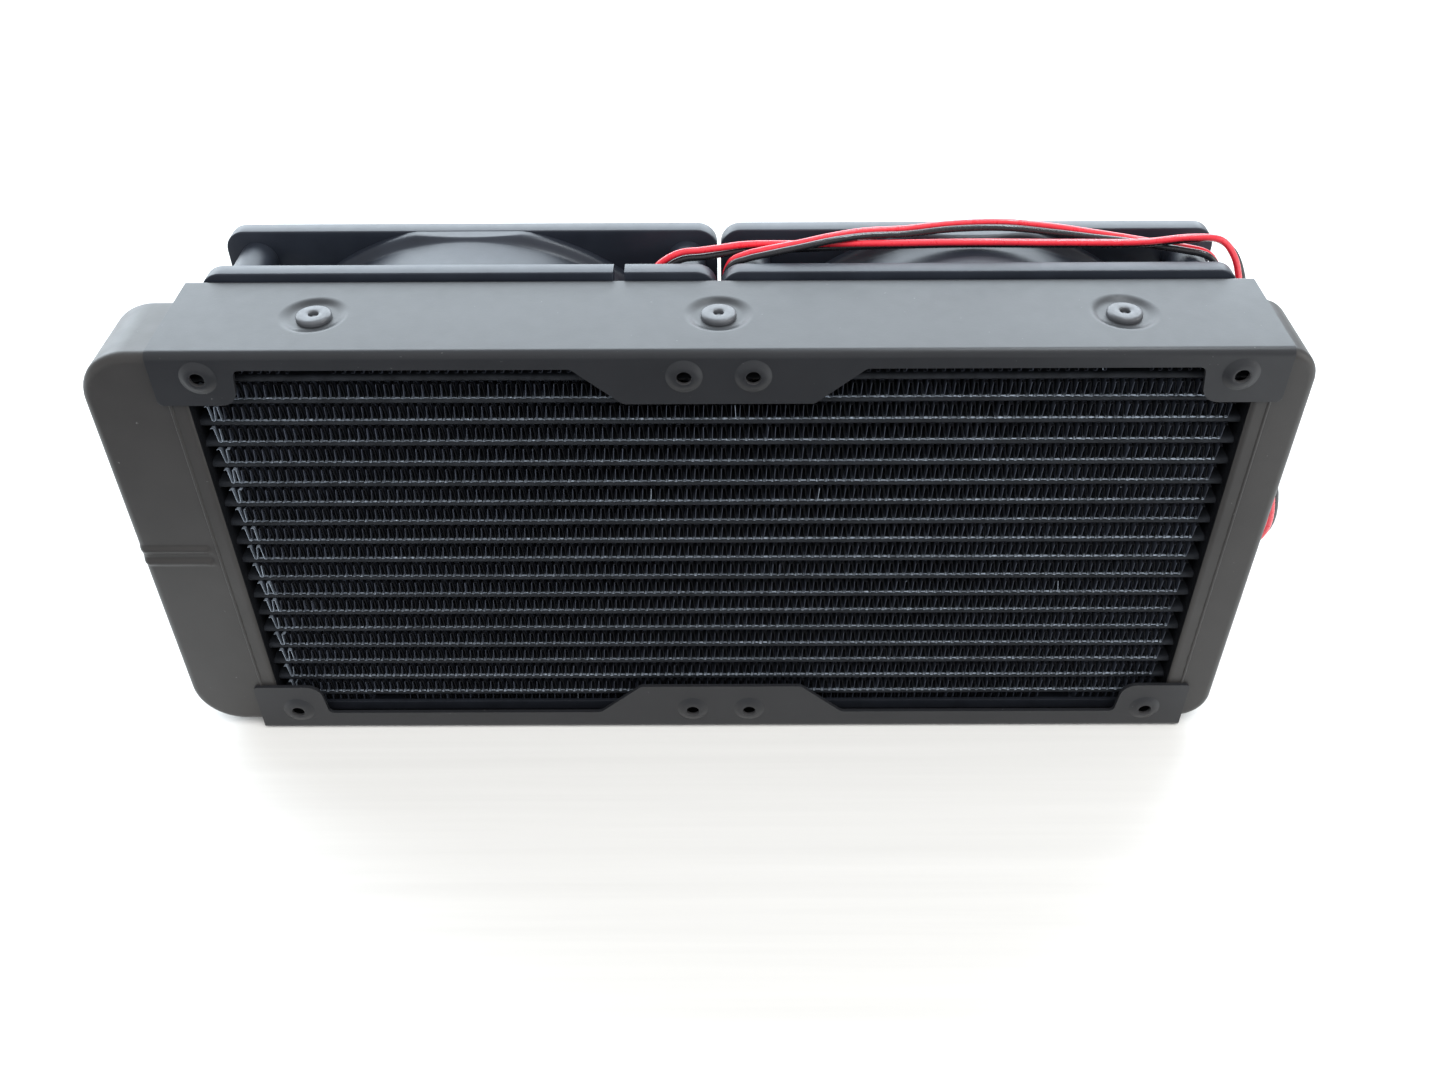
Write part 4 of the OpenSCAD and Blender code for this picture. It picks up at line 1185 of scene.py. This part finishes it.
def make_impeller(name, node_name, side, body):
    m = Mesh(fan_tf(side))
    m.lathe([(0, 23.5), (17.8, 23.5), (18.9, 23.25), (19.65, 22.6), (20, 21.6), (20, 5.5), (19.8, 5.25),
             (19.5, 5.2), (18.6, 5.2), (18.4, 5.4), (18.4, 21.3), (18.0, 21.7), (3.2, 21.7),
             (3.2, 19.8), (3.0, 19.6), (1.5, 19.6), (1.5, 21.7), (0, 21.7)], 120,
            lambda p: (p[0], p[1], p[2]))
    nu, nv = 12, 14
    for k in range(9):
        a = 2 * pi * k / 9
        grid = {}
        for s in (1, -1):
            for i in range(nu + 1):
                row = []
                for j in range(nv + 1):
                    vv = 0.5 - 0.5 * cos(pi * j / nv)
                    ui = i / nu
                    x, y, z = blade_point(ui, vv, s)
                    x, y = rot2(x, y, a)
                    row.append((x, y, z))
                grid[s, i] = m.ring(row)
        for i in range(nu):
            m.bridge(grid[1, i], grid[1, i + 1], closed=False)
            m.bridge(grid[-1, i + 1], grid[-1, i], closed=False)
            for j in (0, nv):
                m.f.append((grid[1, i][j], grid[1, i + 1][j], grid[-1, i + 1][j], grid[-1, i][j]))
        for i in (0, nu):
            m.bridge(grid[1, i], grid[-1, i], closed=False)
    return m.make(name, blade_plastic, (node_name,), body=body, sharp=55)


def make_screws(name, node_name, side):
    m = Mesh()
    for dx in (-52.5, 52.5):
        for z0 in (7.5, 112.5):
            cx = side * 60 + dx
            tf = lambda p, cx=cx, z0=z0: (cx + p[0], 57 + p[2], z0 - p[1])
            top = 2.6
            w, l = 0.42, 1.95
            cross = []
            for q in range(4):
                for px, py in ((w, -l), (w, -w)):
                    cross.append(rot2(px, py, math.radians(45) + q * pi / 2))
            # arms of the cross, in order round the middle
            cross = []
            for q in range(4):
                a = math.radians(45) + q * pi / 2
                for px, py in ((l, -w), (l, w), (w, w)):
                    cross.append(rot2(px, py, a))
            rim = circle(0, 0, 2.5, 48)
            m.cap(rim, [cross], lambda x, y: tf((x, y, top)))
            low = [(x * 0.62, y * 0.62) for x, y in cross]
            a = m.ring([tf((x, y, top)) for x, y in cross])
            b = m.ring([tf((x, y, top - 1.25)) for x, y in low])
            m.bridge(a, b)
            m.cap(low, [], lambda x, y: tf((x, y, top - 1.25)))
            # pan head and shank, with the thread end a little stouter
            prof = [(2.5, 2.6), (2.95, 2.52), (3.3, 2.2), (3.55, 1.6), (3.68, 0.7), (3.7, 0.12), (3.6, 0.0),
                    (1.6, 0.0), (1.6, -24.98)]
            z = -24.98
            while z > -27.7:
                prof += [(1.78, z - 0.2), (1.62, z - 0.4)]
                z -= 0.4
            prof += [(1.5, -28.1), (0.0, -28.2)]
            m.lathe(prof, 48, tf)
            m.f.remove(tuple(m.f[-1])) if len(m.f[-1]) == 48 else None
    return m.make(name, screw_metal, (node_name,), sharp=35)


for sn, side in (("left", -1), ("right", 1)):
    make_fan_frame(sn + "_fan_housing", sn + "_fan_frame", side)
    make_impeller(sn + "_fan_rotor_blades", sn + "_impeller", side, sn + "_rotor")
    make_screws(sn + "_fan_long_screws", sn + "_fan_screws", side)

# carried-over inner pieces keep their exact shapes and get finished materials
INNER = {"tank_partition": bare_metal}
for sn in ("left", "right"):
    INNER.update({sn + "_rotor_yoke": steel, sn + "_rotor_magnet": magnet, sn + "_rotor_shaft": steel,
                  sn + "_shaft_clip": nylon, sn + "_bearing_sleeve": bronze,
                  sn + "_stator_core": steel, sn + "_stator_windings": copper,
                  sn + "_circuit_board": board, sn + "_motor_label": label})
for nm, mt in INNER.items():
    o = bpy.data.objects[nm]
    if not o.material_slots:
        o.data.materials.append(mt)
    for s in o.material_slots:
        s.link = "OBJECT"
        s.material = mt


# ------------------------------------------------------------ floor, lights
def make_floor():
    me = bpy.data.meshes.new("table_top")
    s = 1.6
    me.from_pydata([(-s, -s, 0), (s, -s, 0), (s, s, 0), (-s, s, 0)], [], [(0, 1, 2, 3)])
    o = bpy.data.objects.new("table_top", me)
    scene.collection.objects.link(o)
    me.materials.append(material("white_table", (0.79, 0.79, 0.78), 0.55, vary=0.028, patch=60,
                                 rough_vary=0.03, grain=(420, 0.00003), stretch=(0.06, 3, 1), spec=0.3))


make_floor()


def area(name, loc, aim, sx, sy, radiance, colour):
    l = bpy.data.lights.new(name, "AREA")
    l.shape = "RECTANGLE"
    l.size, l.size_y = sx, sy
    l.energy = radiance * pi * sx * sy
    l.color = colour
    o = bpy.data.objects.new(name, l)
    scene.collection.objects.link(o)
    o.location = loc
    o.rotation_euler = (Vector(aim) - Vector(loc)).to_track_quat("-Z", "Y").to_euler()
    return o


area("window_light", (-0.55, 1.15, 0.72), (-0.55, 0.0, 0.08), 3.2, 1.35, 5.55, (0.82, 0.92, 1.0))
overhead = area("ceiling_light", (0.0, -0.75, 1.35), (0, -0.1, 0), 1.8, 1.1, 3.55, (1.0, 0.98, 0.95))
overhead.visible_glossy = False
area("right_light", (1.25, -0.35, 0.55), (0.1, 0, 0.05), 0.8, 0.8, 2.5, (1.0, 0.985, 0.96))
strip = area("strip_light", (0.36, 0.10, 1.05), (0.08, 0, 0.117), 0.5, 0.05, 60.0, (0.88, 0.95, 1.0))
strip.visible_diffuse = False

# the dark room in front of the table, seen only in reflections
me = bpy.data.meshes.new("dark_card")
me.from_pydata([(-0.5, -0.75, 0.001), (0.26, -0.75, 0.001), (0.16, -0.108, 0.001), (-0.5, -0.108, 0.001)],
               [], [(0, 1, 2, 3)])
card = bpy.data.objects.new("dark_card", me)
scene.collection.objects.link(card)
me.materials.append(material("dark_cloth", (0.012, 0.016, 0.03), 0.9, spec=0.1, grain=(900, 0.0001)))
card.visible_camera = card.visible_diffuse = card.visible_shadow = False
card.visible_transmission = card.visible_volume_scatter = False

world = bpy.data.worlds.new("studio")
scene.world = world
world.use_nodes = True
bg = world.node_tree.nodes["Background"]
bg.inputs["Color"].default_value = (0.96, 0.98, 1.0, 1)
bg.inputs["Strength"].default_value = 0.62
scene.view_settings.view_transform = "Standard"
scene.view_settings.look = "None"
